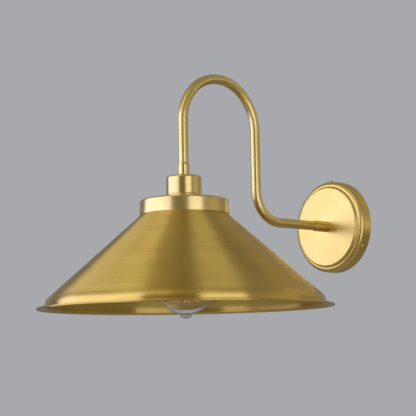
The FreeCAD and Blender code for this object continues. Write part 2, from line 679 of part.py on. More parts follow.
def make_lock_washer():
    """Toothed washer between the rose and the arm's nut."""
    top = ROSE_BACK_OF_FACE
    bottom = top - LOCK_WASHER_THICKNESS
    radius = LOCK_WASHER_DIAMETER / 2.0
    washer = tube(radius, NIPPLE_HOLE_RADIUS, bottom, top)
    notch_width = math.pi * radius / LOCK_WASHER_TEETH / 2.0
    inner = radius - LOCK_WASHER_TOOTH_DEPTH
    notch = block((inner, -notch_width, bottom), (LOCK_WASHER_DIAMETER, notch_width, top))
    return from_wall(washer.cut(Part.makeCompound(around(notch, LOCK_WASHER_TEETH))))


# Wires

def wall_tail(offset, pole_x, turn_depth):
    """Corners of a wire from its pole in the block to the start of the nipple."""
    side, lift = offset
    straight = BLOCK_TOP + WIRE_DIAMETER
    return [
        (Vector(pole_x, -BLOCK_BORE_DEPTH, BLOCK_TOP - WIRE_IN_BLOCK), 0.0),
        (Vector(pole_x, -BLOCK_BORE_DEPTH, straight), WIRE_BEND),
        (Vector(side, -turn_depth, lift), WIRE_BEND),
    ]


def make_wire(offset, pole_x, turn_depth, holder_end):
    """One insulated wire from the terminal block through the arm to the lampholder."""
    side, lift = offset
    bend_z = holder_end[1]
    route = arm_route(side, lift, 0.0, bend_z)[1:4]
    falling = -SHADE_REACH - lift
    corners = wall_tail(offset, pole_x, turn_depth) + route
    corners.append((Vector(side, falling, bend_z), WIRE_BEND))
    corners.append((holder_end[0], 0.0))
    return swept(corners, WIRE_RADIUS)


def make_live_or_neutral(offset, pole_x):
    """Wire that ends in one of the core's two terminals."""
    side, lift = offset
    way = math.copysign(1.0, side)
    reach = way * (TERMINAL_CENTRE - TERMINAL_SIZE[0] / 2.0 + TERMINAL_WIRE_GRIP)
    end = Vector(reach, -SHADE_REACH - lift, TERMINAL_WIRE_LEVEL)
    return make_wire(offset, pole_x, WIRE_TURN_DEPTH, (end, TERMINAL_WIRE_LEVEL))


def make_earth_wire():
    """Wire that ends at the earth tag under the cup."""
    side, lift = EARTH_OFFSET
    level = CUP_UNDERSIDE - TAG_DROP + TAG_WIDTH / 2.0
    end = Vector(side, -SHADE_REACH - TAG_REACH + TAG_THICKNESS, level)
    return make_wire(EARTH_OFFSET, 0.0, EARTH_WIRE_TURN_DEPTH, (end, level))


def make_earth_link():
    """Short wire from the block's middle pole to the plate's earth point."""
    x, z = EARTH_POINT
    level = PLATE_THICKNESS + EARTH_WASHER_THICKNESS / 2.0
    touch = x + EARTH_WASHER_DIAMETER / 2.0
    turn = z - WIRE_DIAMETER
    return swept([
        (Vector(0, -BLOCK_BORE_DEPTH, BLOCK_BOTTOM + WIRE_IN_BLOCK), 0.0),
        (Vector(0, -BLOCK_BORE_DEPTH, turn), WIRE_BEND),
        (Vector(touch + 2.0 * WIRE_BEND, -level, z), WIRE_BEND),
        (Vector(touch, -level, z), 0.0),
    ], WIRE_RADIUS)


# Lampholder

def make_holder_cap():
    """Domed cup of the lampholder, threaded inside on the skirt."""
    radius = CUP_DIAMETER / 2.0
    cup = turned([
        (NIPPLE_HOLE_RADIUS, HOLDER_TOP),
        (radius, HOLDER_TOP, CUP_ROUNDING),
        (radius, SKIRT_TOP_OF_LIP, LIP_ROUNDING),
        (CUP_BORE_RADIUS, SKIRT_TOP_OF_LIP),
        (CUP_BORE_RADIUS, CUP_UNDERSIDE, CUP_ROUNDING - CUP_WALL),
        (NIPPLE_HOLE_RADIUS, CUP_UNDERSIDE),
    ])
    return on_shade_axis(cup)


def make_holder_skirt():
    """Skirt with the visible lip, a spigot in the cup and a thread for the shade ring."""
    skirt = turned([
        (SPIGOT_BORE_RADIUS, SKIRT_TOP_OF_LIP + SPIGOT_HEIGHT),
        (SPIGOT_RADIUS, SKIRT_TOP_OF_LIP + SPIGOT_HEIGHT),
        (SPIGOT_RADIUS, SKIRT_TOP_OF_LIP),
        (LIP_RADIUS, SKIRT_TOP_OF_LIP, LIP_ROUNDING),
        (LIP_RADIUS, GALLERY_TOP, LIP_ROUNDING / 2.0),
        (SKIRT_RADIUS, GALLERY_TOP),
        (SKIRT_RADIUS, SKIRT_BOTTOM, LIP_ROUNDING),
        (SKIRT_BORE_RADIUS, SKIRT_BOTTOM, LIP_ROUNDING),
        (SKIRT_BORE_RADIUS, CORE_SHOULDER),
        (SPIGOT_BORE_RADIUS, CORE_SHOULDER),
    ])
    return on_shade_axis(skirt)


def make_holder_core():
    """Porcelain insert, clamped between the skirt's shoulder and the cup."""
    flange_top = CORE_SHOULDER + CORE_FLANGE_HEIGHT
    core = turned([
        (0, CORE_DECK_UNDERSIDE),
        (CORE_BORE_RADIUS, CORE_DECK_UNDERSIDE),
        (CORE_BORE_RADIUS, CORE_BOTTOM, CERAMIC_ROUNDING),
        (CORE_RADIUS, CORE_BOTTOM, CERAMIC_ROUNDING),
        (CORE_RADIUS, CORE_SHOULDER),
        (CORE_FLANGE_RADIUS, CORE_SHOULDER),
        (CORE_FLANGE_RADIUS, flange_top),
        (CORE_RIM_RADIUS, flange_top),
        (CORE_RIM_RADIUS, CUP_UNDERSIDE),
        (CORE_RIM_RADIUS - CORE_RIM_WALL, CUP_UNDERSIDE),
        (CORE_RIM_RADIUS - CORE_RIM_WALL, CORE_DECK_TOP),
        (0, CORE_DECK_TOP),
    ])
    for x in terminal_stems():
        hole_radius = TERMINAL_STEM_DIAMETER / 2.0 + SOLDER_GAP
        hole = cylinder(hole_radius, CORE_DECK_UNDERSIDE, CORE_DECK_TOP)
        core = core.cut(placed(hole, move=Vector(x, 0, 0)))
    return on_shade_axis(core)


def terminal_stems():
    """X of the live and neutral terminals' stems."""
    reach = TERMINAL_CENTRE + TERMINAL_STEM_OFFSET
    return [reach, -reach]


def make_screw_shell():
    """Rolled lamp shell with an inward lip at its top."""
    crest = SHELL_OUTER_RADIUS
    wave = thread_wave(crest, SHELL_BOTTOM, SHELL_TURNS)
    outer = [(crest - SHELL_TOP_LIP, SHELL_TOP), (crest, SHELL_TOP, FINE_ROUNDING)]
    outer += wave[::-1]
    outer += [(crest, SHELL_BOTTOM)]
    return on_shade_axis(spun(outer, SHELL_SHEET))


def thread_wave(crest, bottom, turns):
    """Corners of a rolled lamp thread from its bottom up, in crests and roots."""
    half_pitch = LAMP_THREAD_PITCH / 2.0
    corners = []
    for step in range(2 * turns):
        radius = crest - LAMP_THREAD_DEPTH * ((step + 1) % 2)
        corners.append((radius, bottom + half_pitch * (step + 1), half_pitch / 2.0))
    return corners


def make_centre_contact():
    """Sprung strip from the live stem to the middle, bent down to the bulb."""
    top = CORE_DECK_UNDERSIDE
    reach = terminal_stems()[0]
    line = [
        (reach + TERMINAL_STEM_DIAMETER, top),
        (BULB_CONTACT_RADIUS + CONTACT_SPRING_RUN, top, CONTACT_BEND_ROUNDING),
        (BULB_CONTACT_RADIUS, top - CONTACT_SPRING_DROP, CONTACT_BEND_ROUNDING),
        (-BULB_CONTACT_RADIUS / 2.0, top - CONTACT_SPRING_DROP),
    ]
    strip = prism(sheet_outline(line, -CONTACT_STRIP_THICKNESS), -CONTACT_STRIP_WIDTH / 2.0,
                  CONTACT_STRIP_WIDTH / 2.0)
    return on_shade_axis(placed(strip, axis=Vector(1, 0, 0), angle=90.0))


def make_holder_terminals():
    """Brass terminal blocks on the core's deck, each with a stem through it."""
    return Part.makeCompound([
        make_terminal(LIVE_OFFSET, CORE_DECK_UNDERSIDE),
        make_terminal(NEUTRAL_OFFSET, SHELL_TOP),
    ])


def make_terminal(offset, stem_end):
    """One terminal, bored for its wire and tapped for its screw."""
    side, lift = offset
    way = math.copysign(1.0, side)
    centre = way * TERMINAL_CENTRE
    half_x = TERMINAL_SIZE[0] / 2.0
    half_y = TERMINAL_SIZE[1] / 2.0
    top = CORE_DECK_TOP + TERMINAL_SIZE[2]
    body = block((centre - half_x, -half_y, CORE_DECK_TOP), (centre + half_x, half_y, top))
    stem_x = way * (TERMINAL_CENTRE + TERMINAL_STEM_OFFSET)
    stem = cylinder(TERMINAL_STEM_DIAMETER / 2.0, stem_end, CORE_DECK_TOP)
    stem = placed(stem, move=Vector(stem_x, 0, 0))
    body = body.fuse(stem).removeSplitter()
    wire_hole = cylinder(WIRE_RADIUS + SOLDER_GAP, -half_x, half_x)
    wire_hole = placed(wire_hole, axis=Vector(0, 1, 0), angle=90.0)
    body = body.cut(placed(wire_hole, move=Vector(centre, -lift, TERMINAL_WIRE_LEVEL)))
    tapped = cylinder(TERMINAL_SCREW_DIAMETER / 2.0 + THREAD_GAP, TERMINAL_WIRE_LEVEL, top)
    body = body.cut(placed(tapped, move=Vector(centre, -lift, 0)))
    return on_shade_axis(body)


def make_terminal_screws():
    """Clamp screws of the lampholder's terminals."""
    top = CORE_DECK_TOP + TERMINAL_SIZE[2]
    length = top - TERMINAL_WIRE_LEVEL - WIRE_RADIUS - SOLDER_GAP
    screw = slotted_screw(
        TERMINAL_SCREW_DIAMETER / 2.0, length, TERMINAL_SCREW_HEAD / 2.0, TERMINAL_SCREW_HEAD_HEIGHT,
        FINE_ROUNDING,
    )
    screws = []
    for side, lift in (LIVE_OFFSET, NEUTRAL_OFFSET):
        centre = math.copysign(TERMINAL_CENTRE, side)
        screws.append(on_shade_axis(placed(screw, move=Vector(centre, -lift, top))))
    return Part.makeCompound(screws)


def make_earth_tag():
    """Tag clamped by the lock nut, bent down to take the earth wire."""
    washer = tube(NUT_CORNER_RADIUS, NIPPLE_HOLE_RADIUS, TAG_UNDERSIDE, CUP_UNDERSIDE)
    line = [
        (NUT_CORNER_RADIUS - TAG_THICKNESS, CUP_UNDERSIDE),
        (TAG_REACH, CUP_UNDERSIDE, TAG_BEND_ROUNDING),
        (TAG_REACH, CUP_UNDERSIDE - TAG_DROP),
    ]
    strip = prism(sheet_outline(line, TAG_THICKNESS), -TAG_WIDTH / 2.0, TAG_WIDTH / 2.0)
    upright = placed(strip, axis=Vector(1, 0, 0), angle=90.0)
    tail = placed(upright, axis=Vector(0, 0, 1), angle=-90.0)
    return on_shade_axis(washer.fuse(tail).removeSplitter())


# Gallery and shade

def make_shade_collar():
    """Deep gallery ring: a plate with a drafted wall."""
    collar = turned([
        (SKIRT_RADIUS + LOOSE_GAP, GALLERY_TOP),
        (COLLAR_TOP_RADIUS, GALLERY_TOP, COLLAR_TOP_ROUNDING),
        (COLLAR_BOTTOM_RADIUS, COLLAR_BOTTOM, COLLAR_EDGE_ROUNDING),
        (COLLAR_BORE_RADIUS, COLLAR_BOTTOM),
        (COLLAR_BORE_RADIUS, GALLERY_UNDERSIDE, COLLAR_TOP_ROUNDING - COLLAR_PLATE),
        (SKIRT_RADIUS + LOOSE_GAP, GALLERY_UNDERSIDE),
    ])
    return on_shade_axis(collar)


def make_shade_ring():
    """Ring on the skirt's thread, notched for the fingers, clamping the gallery."""
    outer = SHADE_RING_DIAMETER / 2.0
    bottom = GALLERY_UNDERSIDE - SHADE_RING_HEIGHT
    bore = SKIRT_RADIUS + RUNNING_GAP
    ring = turned([
        (bore, bottom), (outer, bottom, FINE_ROUNDING),
        (outer, GALLERY_UNDERSIDE, FINE_ROUNDING), (bore, GALLERY_UNDERSIDE),
    ])
    notch = cylinder(SHADE_RING_NOTCH_DIAMETER / 2.0, bottom, GALLERY_UNDERSIDE)
    notch = placed(notch, move=Vector(outer, 0, 0))
    return on_shade_axis(ring.cut(Part.makeCompound(around(notch, SHADE_RING_NOTCHES))))


def make_shade():
    """Spun cone with a neck in the gallery, a rounded shoulder and a beaded brim."""
    shade = spun([
        (SHADE_NECK_RADIUS, COLLAR_BOTTOM + SHADE_NECK_HEIGHT),
        (SHADE_NECK_RADIUS, COLLAR_BOTTOM),
        (COLLAR_BOTTOM_RADIUS - SHADE_SEAT_INSET, COLLAR_BOTTOM),
        (SHADE_WALL_RADIUS, SHADE_CONE_END, SHADE_SHOULDER_ROUNDING),
        (SHADE_WALL_RADIUS, BRIM_TOP, SHADE_BRIM_ROUNDING),
        (SHADE_BRIM_RADIUS - BRIM_BEAD_RADIUS, BRIM_TOP),
    ], SHADE_SHEET)
    bead_path = SHADE_BRIM_RADIUS - BRIM_BEAD_RADIUS
    bead = Part.makeTorus(bead_path, BRIM_BEAD_RADIUS, Vector(0, 0, BRIM_MIDDLE))
    return on_shade_axis(shade.fuse(bead).removeSplitter())


# Bulb

def bulb_body(radius, neck_radius, tip_length):
    """Solid pear shape from the neck's top to the tip."""
    centre = Vector(0, 0, BULB_CENTRE)
    neck_end = Vector(neck_radius, 0, NECK_END)
    reach = neck_end - centre
    shoulder_angle = math.atan2(reach.z, reach.x) - math.acos(radius / reach.Length)
    tip_angle = math.asin(BULB_TIP_RADIUS / radius) - math.pi / 2.0
    shoulder = centre + ring_side(shoulder_angle, radius)
    belly = centre + ring_side((shoulder_angle + tip_angle) / 2.0, radius)
    tip_start = centre + ring_side(tip_angle, radius)
    tip = centre - Vector(0, 0, radius + tip_length)
    neck_top = Vector(neck_radius, 0, NECK_TOP)
    line = rounded_edges([(neck_top, 0.0), (neck_end, BULB_NECK_ROUNDING), (shoulder, 0.0)], False)
    line.append(Part.Arc(shoulder, belly, tip_start).toShape())
    line.append(Part.LineSegment(tip_start, tip).toShape())
    line.append(Part.LineSegment(tip, Vector(0, 0, NECK_TOP)).toShape())
    line.append(Part.LineSegment(Vector(0, 0, NECK_TOP), neck_top).toShape())
    face = Part.Face(Part.Wire(line))
    return face.revolve(Vector(0, 0, 0), Vector(0, 0, 1), 360)


def ring_side(angle, radius):
    """Offset in the XZ plane at an angle from X."""
    return Vector(radius * math.cos(angle), 0, radius * math.sin(angle))


def make_bulb_glass():
    """Pear-shaped envelope with a sealed tip, open at its neck."""
    outer = bulb_body(BULB_RADIUS, NECK_RADIUS, BULB_TIP_LENGTH)
    inner = bulb_body(BULB_RADIUS - BULB_GLASS, NECK_RADIUS - BULB_GLASS, BULB_TIP_LENGTH / 2.0)
    return on_shade_axis(outer.cut(inner))


def make_bulb_cap():
    """Rolled screw cap of the bulb."""
    crest = LAMP_CAP_CREST_RADIUS
    root = crest - LAMP_THREAD_DEPTH
    wave = thread_wave(crest, BULB_CAP_BOTTOM + BULB_CAP_STRAIGHT, BULB_CAP_TURNS)
    shell_edge = BULB_SHELL_TOP - BULB_CAP_CONE_HEIGHT
    outer = [(BULB_INSULATOR_BASE_RADIUS, BULB_SHELL_TOP), (root, shell_edge, FINE_ROUNDING)]
    outer += wave[::-1]
    outer += [(root, BULB_CAP_BOTTOM)]
    return on_shade_axis(spun(outer, LAMP_CAP_SHEET))


def make_cap_insulator():
    """Black glass cone between the cap and its contact."""
    insulator = turned([
        (0, BULB_SHELL_TOP),
        (BULB_INSULATOR_BASE_RADIUS, BULB_SHELL_TOP),
        (BULB_CONTACT_RADIUS + BULB_CONTACT_HEIGHT, BULB_INSULATOR_TOP, FINE_ROUNDING),
        (0, BULB_INSULATOR_TOP),
    ])
    return on_shade_axis(insulator)


def make_cap_contact():
    """Low domed contact in the middle of the cap."""
    contact = turned([
        (0, BULB_INSULATOR_TOP),
        (BULB_CONTACT_RADIUS, BULB_INSULATOR_TOP),
        (BULB_CONTACT_RADIUS, BULB_TOP, FINE_ROUNDING),
        (0, BULB_TOP),
    ])
    return on_shade_axis(contact)


def press_bottom():
    """Height of the lower end of the stem's press."""
    return NECK_TOP - STEM_LENGTH


def make_bulb_stem():
    """Flared glass tube, its press, and the rod with two buttons that carries the hooks."""
    press_end = press_bottom()
    press_top = press_end + STEM_PRESS_LENGTH
    flare_radius = NECK_RADIUS - BULB_GLASS - SOLDER_GAP
    tube_bore = STEM_FLARE_RADIUS - STEM_WALL
    button_half = STEM_BUTTON_HEIGHT / 2.0
    stem = turned([
        (flare_radius, NECK_TOP),
        (flare_radius, NECK_TOP - STEM_WALL),
        (STEM_FLARE_RADIUS, NECK_TOP - STEM_FLARE_LENGTH, STEM_FLARE_ROUNDING),
        (STEM_FLARE_RADIUS, press_top),
        (STEM_ROD_RADIUS, press_end, FINE_ROUNDING),
        (STEM_ROD_RADIUS, FILAMENT_TOP_HEIGHT + button_half),
        (STEM_BUTTON_RADIUS, FILAMENT_TOP_HEIGHT + button_half, FINE_ROUNDING),
        (STEM_BUTTON_RADIUS, FILAMENT_TOP_HEIGHT - button_half, FINE_ROUNDING),
        (STEM_ROD_RADIUS, FILAMENT_TOP_HEIGHT - button_half),
        (STEM_ROD_RADIUS, FILAMENT_BOTTOM_HEIGHT + button_half),
        (STEM_BUTTON_RADIUS, FILAMENT_BOTTOM_HEIGHT + button_half, FINE_ROUNDING),
        (STEM_BUTTON_RADIUS, FILAMENT_BOTTOM_HEIGHT - button_half, 2.0 * FINE_ROUNDING),
        (0, FILAMENT_BOTTOM_HEIGHT - button_half),
        (0, press_top),
        (tube_bore, press_top),
        (tube_bore, NECK_TOP - STEM_FLARE_LENGTH + STEM_WALL / 2.0, STEM_FLARE_ROUNDING),
    ])
    return on_shade_axis(stem)


def filament_turns():
    """Angle, ring radius, height and bend radius of each turn of the filament."""
    steps = 2 * FILAMENT_LOOPS
    sweep = 360.0 - FILAMENT_GAP_ANGLE
    turns = []
    for index in range(steps + 1):
        angle = math.radians(90.0 + FILAMENT_GAP_ANGLE / 2.0 + sweep * index / steps)
        if index % 2 == 1:
            turns.append((angle, FILAMENT_BOTTOM_RING, FILAMENT_BOTTOM_HEIGHT, FILAMENT_BOTTOM_BEND))
        else:
            turns.append((angle, FILAMENT_TOP_RING, FILAMENT_TOP_HEIGHT, FILAMENT_TOP_BEND))
    return turns


def ring_point(angle, ring, height):
    """Point on a ring about local Z."""
    return Vector(ring * math.cos(angle), ring * math.sin(angle), height)


def make_filament():
    """One wire that runs down and up between two rings of hooks, with a round bend at each."""
    turns = filament_turns()
    corners = [(ring_point(*turns[0][:3]), 0.0)]
    for angle, ring, height, bend in turns[1:-1]:
        half_turn = bend / ring
        rounding = 0.9 * bend
        corners.append((ring_point(angle - half_turn, ring, height), rounding))
        corners.append((ring_point(angle + half_turn, ring, height), rounding))
    corners.append((ring_point(*turns[-1][:3]), 0.0))
    return on_shade_axis(swept(corners, FILAMENT_RADIUS))


def make_filament_supports():
    """Hooks from the rod's buttons to each bend of the filament."""
    hooks = []
    for angle, ring, height, bend in filament_turns()[1:-1]:
        way = ring_point(angle, 1.0, 0.0)
        start = STEM_BUTTON_RADIUS + HOOK_GAP
        end = ring * math.cos(bend / ring) - FILAMENT_RADIUS - HOOK_GAP
        hooks.append(Part.makeCylinder(SUPPORT_RADIUS, end - start, ring_point(angle, start, height), way))
    return on_shade_axis(Part.makeCompound(hooks))


def make_lead_wires():
    """Two lead-in wires from the press to the filament's ends."""
    height = press_bottom() + STEM_PRESS_LENGTH / 3.0
    press_radius = STEM_ROD_RADIUS + (STEM_FLARE_RADIUS - STEM_ROD_RADIUS) / 3.0
    leads = []
    for angle, ring, end_height, _ in (filament_turns()[0], filament_turns()[-1]):
        start = ring_point(angle, press_radius + 2.0 * SUPPORT_RADIUS, height)
        end = ring_point(angle, ring, end_height + SUPPORT_RADIUS)
        leads.append(swept([(start, 0.0), (end, 0.0)], SUPPORT_RADIUS))
    return on_shade_axis(Part.makeCompound(leads))


def build():
    """All pieces by name."""
    nipple_wall = tube(NIPPLE_RADIUS, NIPPLE_BORE / 2.0, WALL_NIPPLE_END, WALL_TUBE_END - THREAD_GAP)
    nipple_holder = tube(NIPPLE_RADIUS, NIPPLE_BORE / 2.0, HOLDER_NIPPLE_END, SHADE_TUBE_END - THREAD_GAP)
    wall_nut_top = ROSE_BACK_OF_FACE - LOCK_WASHER_THICKNESS
    wall_ferrule = placed(make_ferrule(WALL_FERRULE_LENGTH), move=Vector(0, 0, ROSE_DEPTH))
    shade_ferrule = placed(make_ferrule(SHADE_FERRULE_LENGTH), move=Vector(0, 0, HOLDER_TOP))
    return {
        "mounting_plate": make_mounting_plate(),
        "cable_grommet": make_cable_grommet(),
        "wall_rose": make_wall_rose(),
        "rose_side_screws": make_side_screws(),
        "terminal_block": make_terminal_block(),
        "terminal_sleeves": make_terminal_sleeves(),
        "terminal_clamp_screws": make_clamp_screws(),
        "terminal_block_screws": make_block_screws(),
        "earth_screw": make_earth_screw(),
        "earth_washer": make_earth_washer(),
        "wall_nipple": from_wall(nipple_wall),
        "arm_nut": from_wall(make_nut(wall_nut_top - WALL_NUT_HEIGHT, wall_nut_top)),
        "arm_lock_washer": make_lock_washer(),
        "wall_ferrule": from_wall(wall_ferrule),
        "arm_tube": make_arm_tube(),
        "live_wire": make_live_or_neutral(LIVE_OFFSET, POLES[-1]),
        "neutral_wire": make_live_or_neutral(NEUTRAL_OFFSET, POLES[0]),
        "earth_wire": make_earth_wire(),
        "earth_link": make_earth_link(),
        "shade_ferrule": on_shade_axis(shade_ferrule),
        "holder_nipple": on_shade_axis(nipple_holder),
        "holder_lock_nut": on_shade_axis(make_nut(TAG_UNDERSIDE - HOLDER_NUT_HEIGHT, TAG_UNDERSIDE)),
        "holder_earth_tag": make_earth_tag(),
        "holder_cap": make_holder_cap(),
        "holder_core": make_holder_core(),
        "holder_screw_shell": make_screw_shell(),
        "holder_centre_contact": make_centre_contact(),
        "holder_terminals": make_holder_terminals(),
        "holder_terminal_screws": make_terminal_screws(),
        "holder_skirt": make_holder_skirt(),
        "shade_ring": make_shade_ring(),
        "shade_collar": make_shade_collar(),
        "shade": make_shade(),
        "bulb_glass": make_bulb_glass(),
        "bulb_cap": make_bulb_cap(),
        "bulb_cap_insulator": make_cap_insulator(),
        "bulb_cap_contact": make_cap_contact(),
        "bulb_stem": make_bulb_stem(),
        "bulb_lead_wires": make_lead_wires(),
        "filament": make_filament(),
        "filament_supports": make_filament_supports(),
    }


def main():
    """Write each piece to its own file."""
    os.makedirs("parts", exist_ok=True)
    for node, shape in build().items():
        if not shape.isValid():
            raise ValueError(node + " is not a valid shape")
        shape.exportStep("parts/" + node + ".step")
        print(node, len(shape.Solids), round(shape.Volume, 1))


main()
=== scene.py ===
"""Looks of a brass gooseneck wall sconce: its studio, its finishes and its finer pieces."""
import json
import logging
import math
from dataclasses import dataclass, field
from enum import Enum
from typing import Optional, Sequence, Union

import bpy
from mathutils import Matrix, Vector


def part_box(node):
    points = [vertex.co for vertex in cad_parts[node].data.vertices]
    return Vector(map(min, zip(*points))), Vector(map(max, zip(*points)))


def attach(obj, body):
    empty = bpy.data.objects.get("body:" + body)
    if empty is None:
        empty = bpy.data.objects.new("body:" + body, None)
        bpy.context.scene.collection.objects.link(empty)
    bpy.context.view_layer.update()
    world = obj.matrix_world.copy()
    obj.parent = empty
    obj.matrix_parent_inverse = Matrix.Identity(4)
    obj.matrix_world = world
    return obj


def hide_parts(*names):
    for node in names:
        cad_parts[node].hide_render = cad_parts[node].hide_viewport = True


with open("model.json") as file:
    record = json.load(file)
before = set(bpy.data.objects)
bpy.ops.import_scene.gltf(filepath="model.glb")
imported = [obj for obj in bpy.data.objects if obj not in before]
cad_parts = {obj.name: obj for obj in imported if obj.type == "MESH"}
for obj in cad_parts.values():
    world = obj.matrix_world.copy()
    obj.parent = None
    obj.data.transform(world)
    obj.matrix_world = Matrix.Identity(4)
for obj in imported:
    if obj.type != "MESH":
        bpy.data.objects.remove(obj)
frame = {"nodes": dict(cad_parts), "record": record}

LOG = logging.getLogger("sconce")
RGB = tuple[float, float, float]
DEGREES = 180.0 / math.pi


class Wire:
    """One output of a shader node, which Python sums can use."""

    def __init__(self, shader: "Shader", socket: bpy.types.NodeSocket) -> None:
        """Holds the output and the shader that it belongs to."""
        self.shader = shader
        self.socket = socket

    def out(self, name: str) -> "Wire":
        """Another output of the same node, by its name."""
        return Wire(self.shader, self.socket.node.outputs[name])

    def _maths(self, operation: str, first: "Value", second: "Value") -> "Wire":
        """A Math node on two values."""
        return self.shader.node("ShaderNodeMath", {"operation": operation}, {0: first, 1: second})

    def __add__(self, other: "Value") -> "Wire":
        """This plus other."""
        return self._maths("ADD", self, other)

    __radd__ = __add__

    def __sub__(self, other: "Value") -> "Wire":
        """This less other."""
        return self._maths("SUBTRACT", self, other)

    def __rsub__(self, other: "Value") -> "Wire":
        """Other less this."""
        return self._maths("SUBTRACT", other, self)

    def __mul__(self, other: "Value") -> "Wire":
        """This times other."""
        return self._maths("MULTIPLY", self, other)

    __rmul__ = __mul__

    def __truediv__(self, other: "Value") -> "Wire":
        """This divided by other."""
        return self._maths("DIVIDE", self, other)

    def __pow__(self, other: "Value") -> "Wire":
        """This to the power of other."""
        return self._maths("POWER", self, other)

    def greatest(self, other: "Value") -> "Wire":
        """The larger of this and other."""
        return self._maths("MAXIMUM", self, other)

    def angle(self, along: "Value") -> "Wire":
        """Angle in radians whose sine goes with this and whose cosine goes with along."""
        return self._maths("ARCTAN2", self, along)

    def between(self, low: float, high: float, soft: float) -> "Wire":
        """One from low to high and zero outside, over a soft edge."""
        return self.rise(low - soft, low + soft) * (1 - self.rise(high - soft, high + soft))

    def rise(self, low: float, high: float, bottom: float = 0.0, top: float = 1.0) -> "Wire":
        """Smooth step from bottom at low to top at high.

        Args:
            low: Value where the step starts.
            high: Value where the step ends.
            bottom: Result up to low.
            top: Result from high on.

        Returns:
            The stepped value.
        """
        settings = {"interpolation_type": "SMOOTHSTEP"}
        inputs = {"Value": self, "From Min": low, "From Max": high, "To Min": bottom, "To Max": top}
        return self.shader.node("ShaderNodeMapRange", settings, inputs)


Value = Union[Wire, float, int, Sequence[float]]


class Shader:
    """A node tree and the one method that makes its nodes."""

    def __init__(self, tree: bpy.types.NodeTree) -> None:
        """Starts from an empty tree."""
        self.tree = tree
        tree.nodes.clear()

    def node(self, kind: str, settings: Optional[dict] = None, inputs: Optional[dict] = None,
             output: Union[int, str] = 0) -> Wire:
        """Makes a node.

        Args:
            kind: Blender's name of the node type.
            settings: Properties of the node, which are set first.
            inputs: Values or links by socket name or number.
            output: The output that is wanted.

        Returns:
            That output.
        """
        made = self.tree.nodes.new(kind)
        for name, value in (settings or {}).items():
            setattr(made, name, value)
        for name, value in (inputs or {}).items():
            socket = made.inputs[name]
            if isinstance(value, Wire):
                self.tree.links.new(value.socket, socket)
            else:
                socket.default_value = value
        return Wire(self, made.outputs[output]) if made.outputs else Wire(self, made.inputs[0])

    def place(self) -> Wire:
        """Object coordinates, in metres."""
        return self.node("ShaderNodeTexCoord", output="Object")

    def parts(self, vector: Wire) -> tuple[Wire, Wire, Wire]:
        """The three numbers of a vector."""
        x = self.node("ShaderNodeSeparateXYZ", inputs={0: vector})
        return x, x.out("Y"), x.out("Z")

    def vector(self, x: Value, y: Value, z: Value) -> Wire:
        """A vector from three numbers."""
        return self.node("ShaderNodeCombineXYZ", inputs={0: x, 1: y, 2: z})

    def blend(self, factor: Value, first: Value, second: Value) -> Wire:
        """Colour that runs from first to second."""
        return self.node("ShaderNodeMix", {"data_type": "RGBA"}, {0: factor, 6: first, 7: second}, 2)

    def noise(self, vector: Wire, scale: float, detail: float = 2.0, rough: float = 0.5) -> Wire:
        """Noise about 0.5."""
        inputs = {"Vector": vector, "Scale": scale, "Detail": detail, "Roughness": rough}
        return self.node("ShaderNodeTexNoise", inputs=inputs, output="Fac")

    def bump(self, height: Wire, depth: float, strength: float = 1.0) -> Wire:
        """Normal that follows a height of 0 to 1 over a depth in metres."""
        inputs = {"Height": height, "Distance": depth, "Strength": strength}
        return self.node("ShaderNodeBump", inputs=inputs)


class Turning(Enum):
    """How a piece lies in the lathe, which says how its brushing runs."""

    ABOUT_SHADE = "round the upright axis of the shade"
    ABOUT_ROSE = "round the level axis of the rose"
    FREE = "even in every direction"


@dataclass(frozen=True)
class Layout:
    """Places that the finishes and the studio share, read from the frame, in metres."""

    shade_low: Vector = field(default_factory=lambda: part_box("shade")[0])
    shade_high: Vector = field(default_factory=lambda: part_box("shade")[1])

    @property
    def shade_axis(self) -> Vector:
        """The point of the shade's axis at height zero."""
        middle = (self.shade_low + self.shade_high) / 2.0
        return Vector((middle.x, middle.y, 0.0))


LAYOUT = Layout()

# Noise over which a finish runs from its deep tone to its pale one
TONES = (0.35, 0.65)


class Finish:
    """A finish that dresses pieces, one material to a kind."""

    name = "finish"

    def material(self, label: str) -> bpy.types.Material:
        """Makes the material.

        Args:
            label: What the material's name ends in.

        Returns:
            The new material.
        """
        made = bpy.data.materials.new(self.name + "_" + label)
        made.use_nodes = True
        shader = Shader(made.node_tree)
        surface = self.surface(shader)
        shader.node("ShaderNodeOutputMaterial", inputs={"Surface": surface})
        return made

    def surface(self, shader: Shader) -> Wire:
        """Makes the closure of the finish; each finish gives its own.

        Args:
            shader: The tree of the material.

        Returns:
            The closure.
        """
        raise NotImplementedError

    @staticmethod
    def principled(shader: Shader, inputs: dict) -> Wire:
        """A principled surface with these sockets set."""
        return shader.node("ShaderNodeBsdfPrincipled", inputs=inputs)


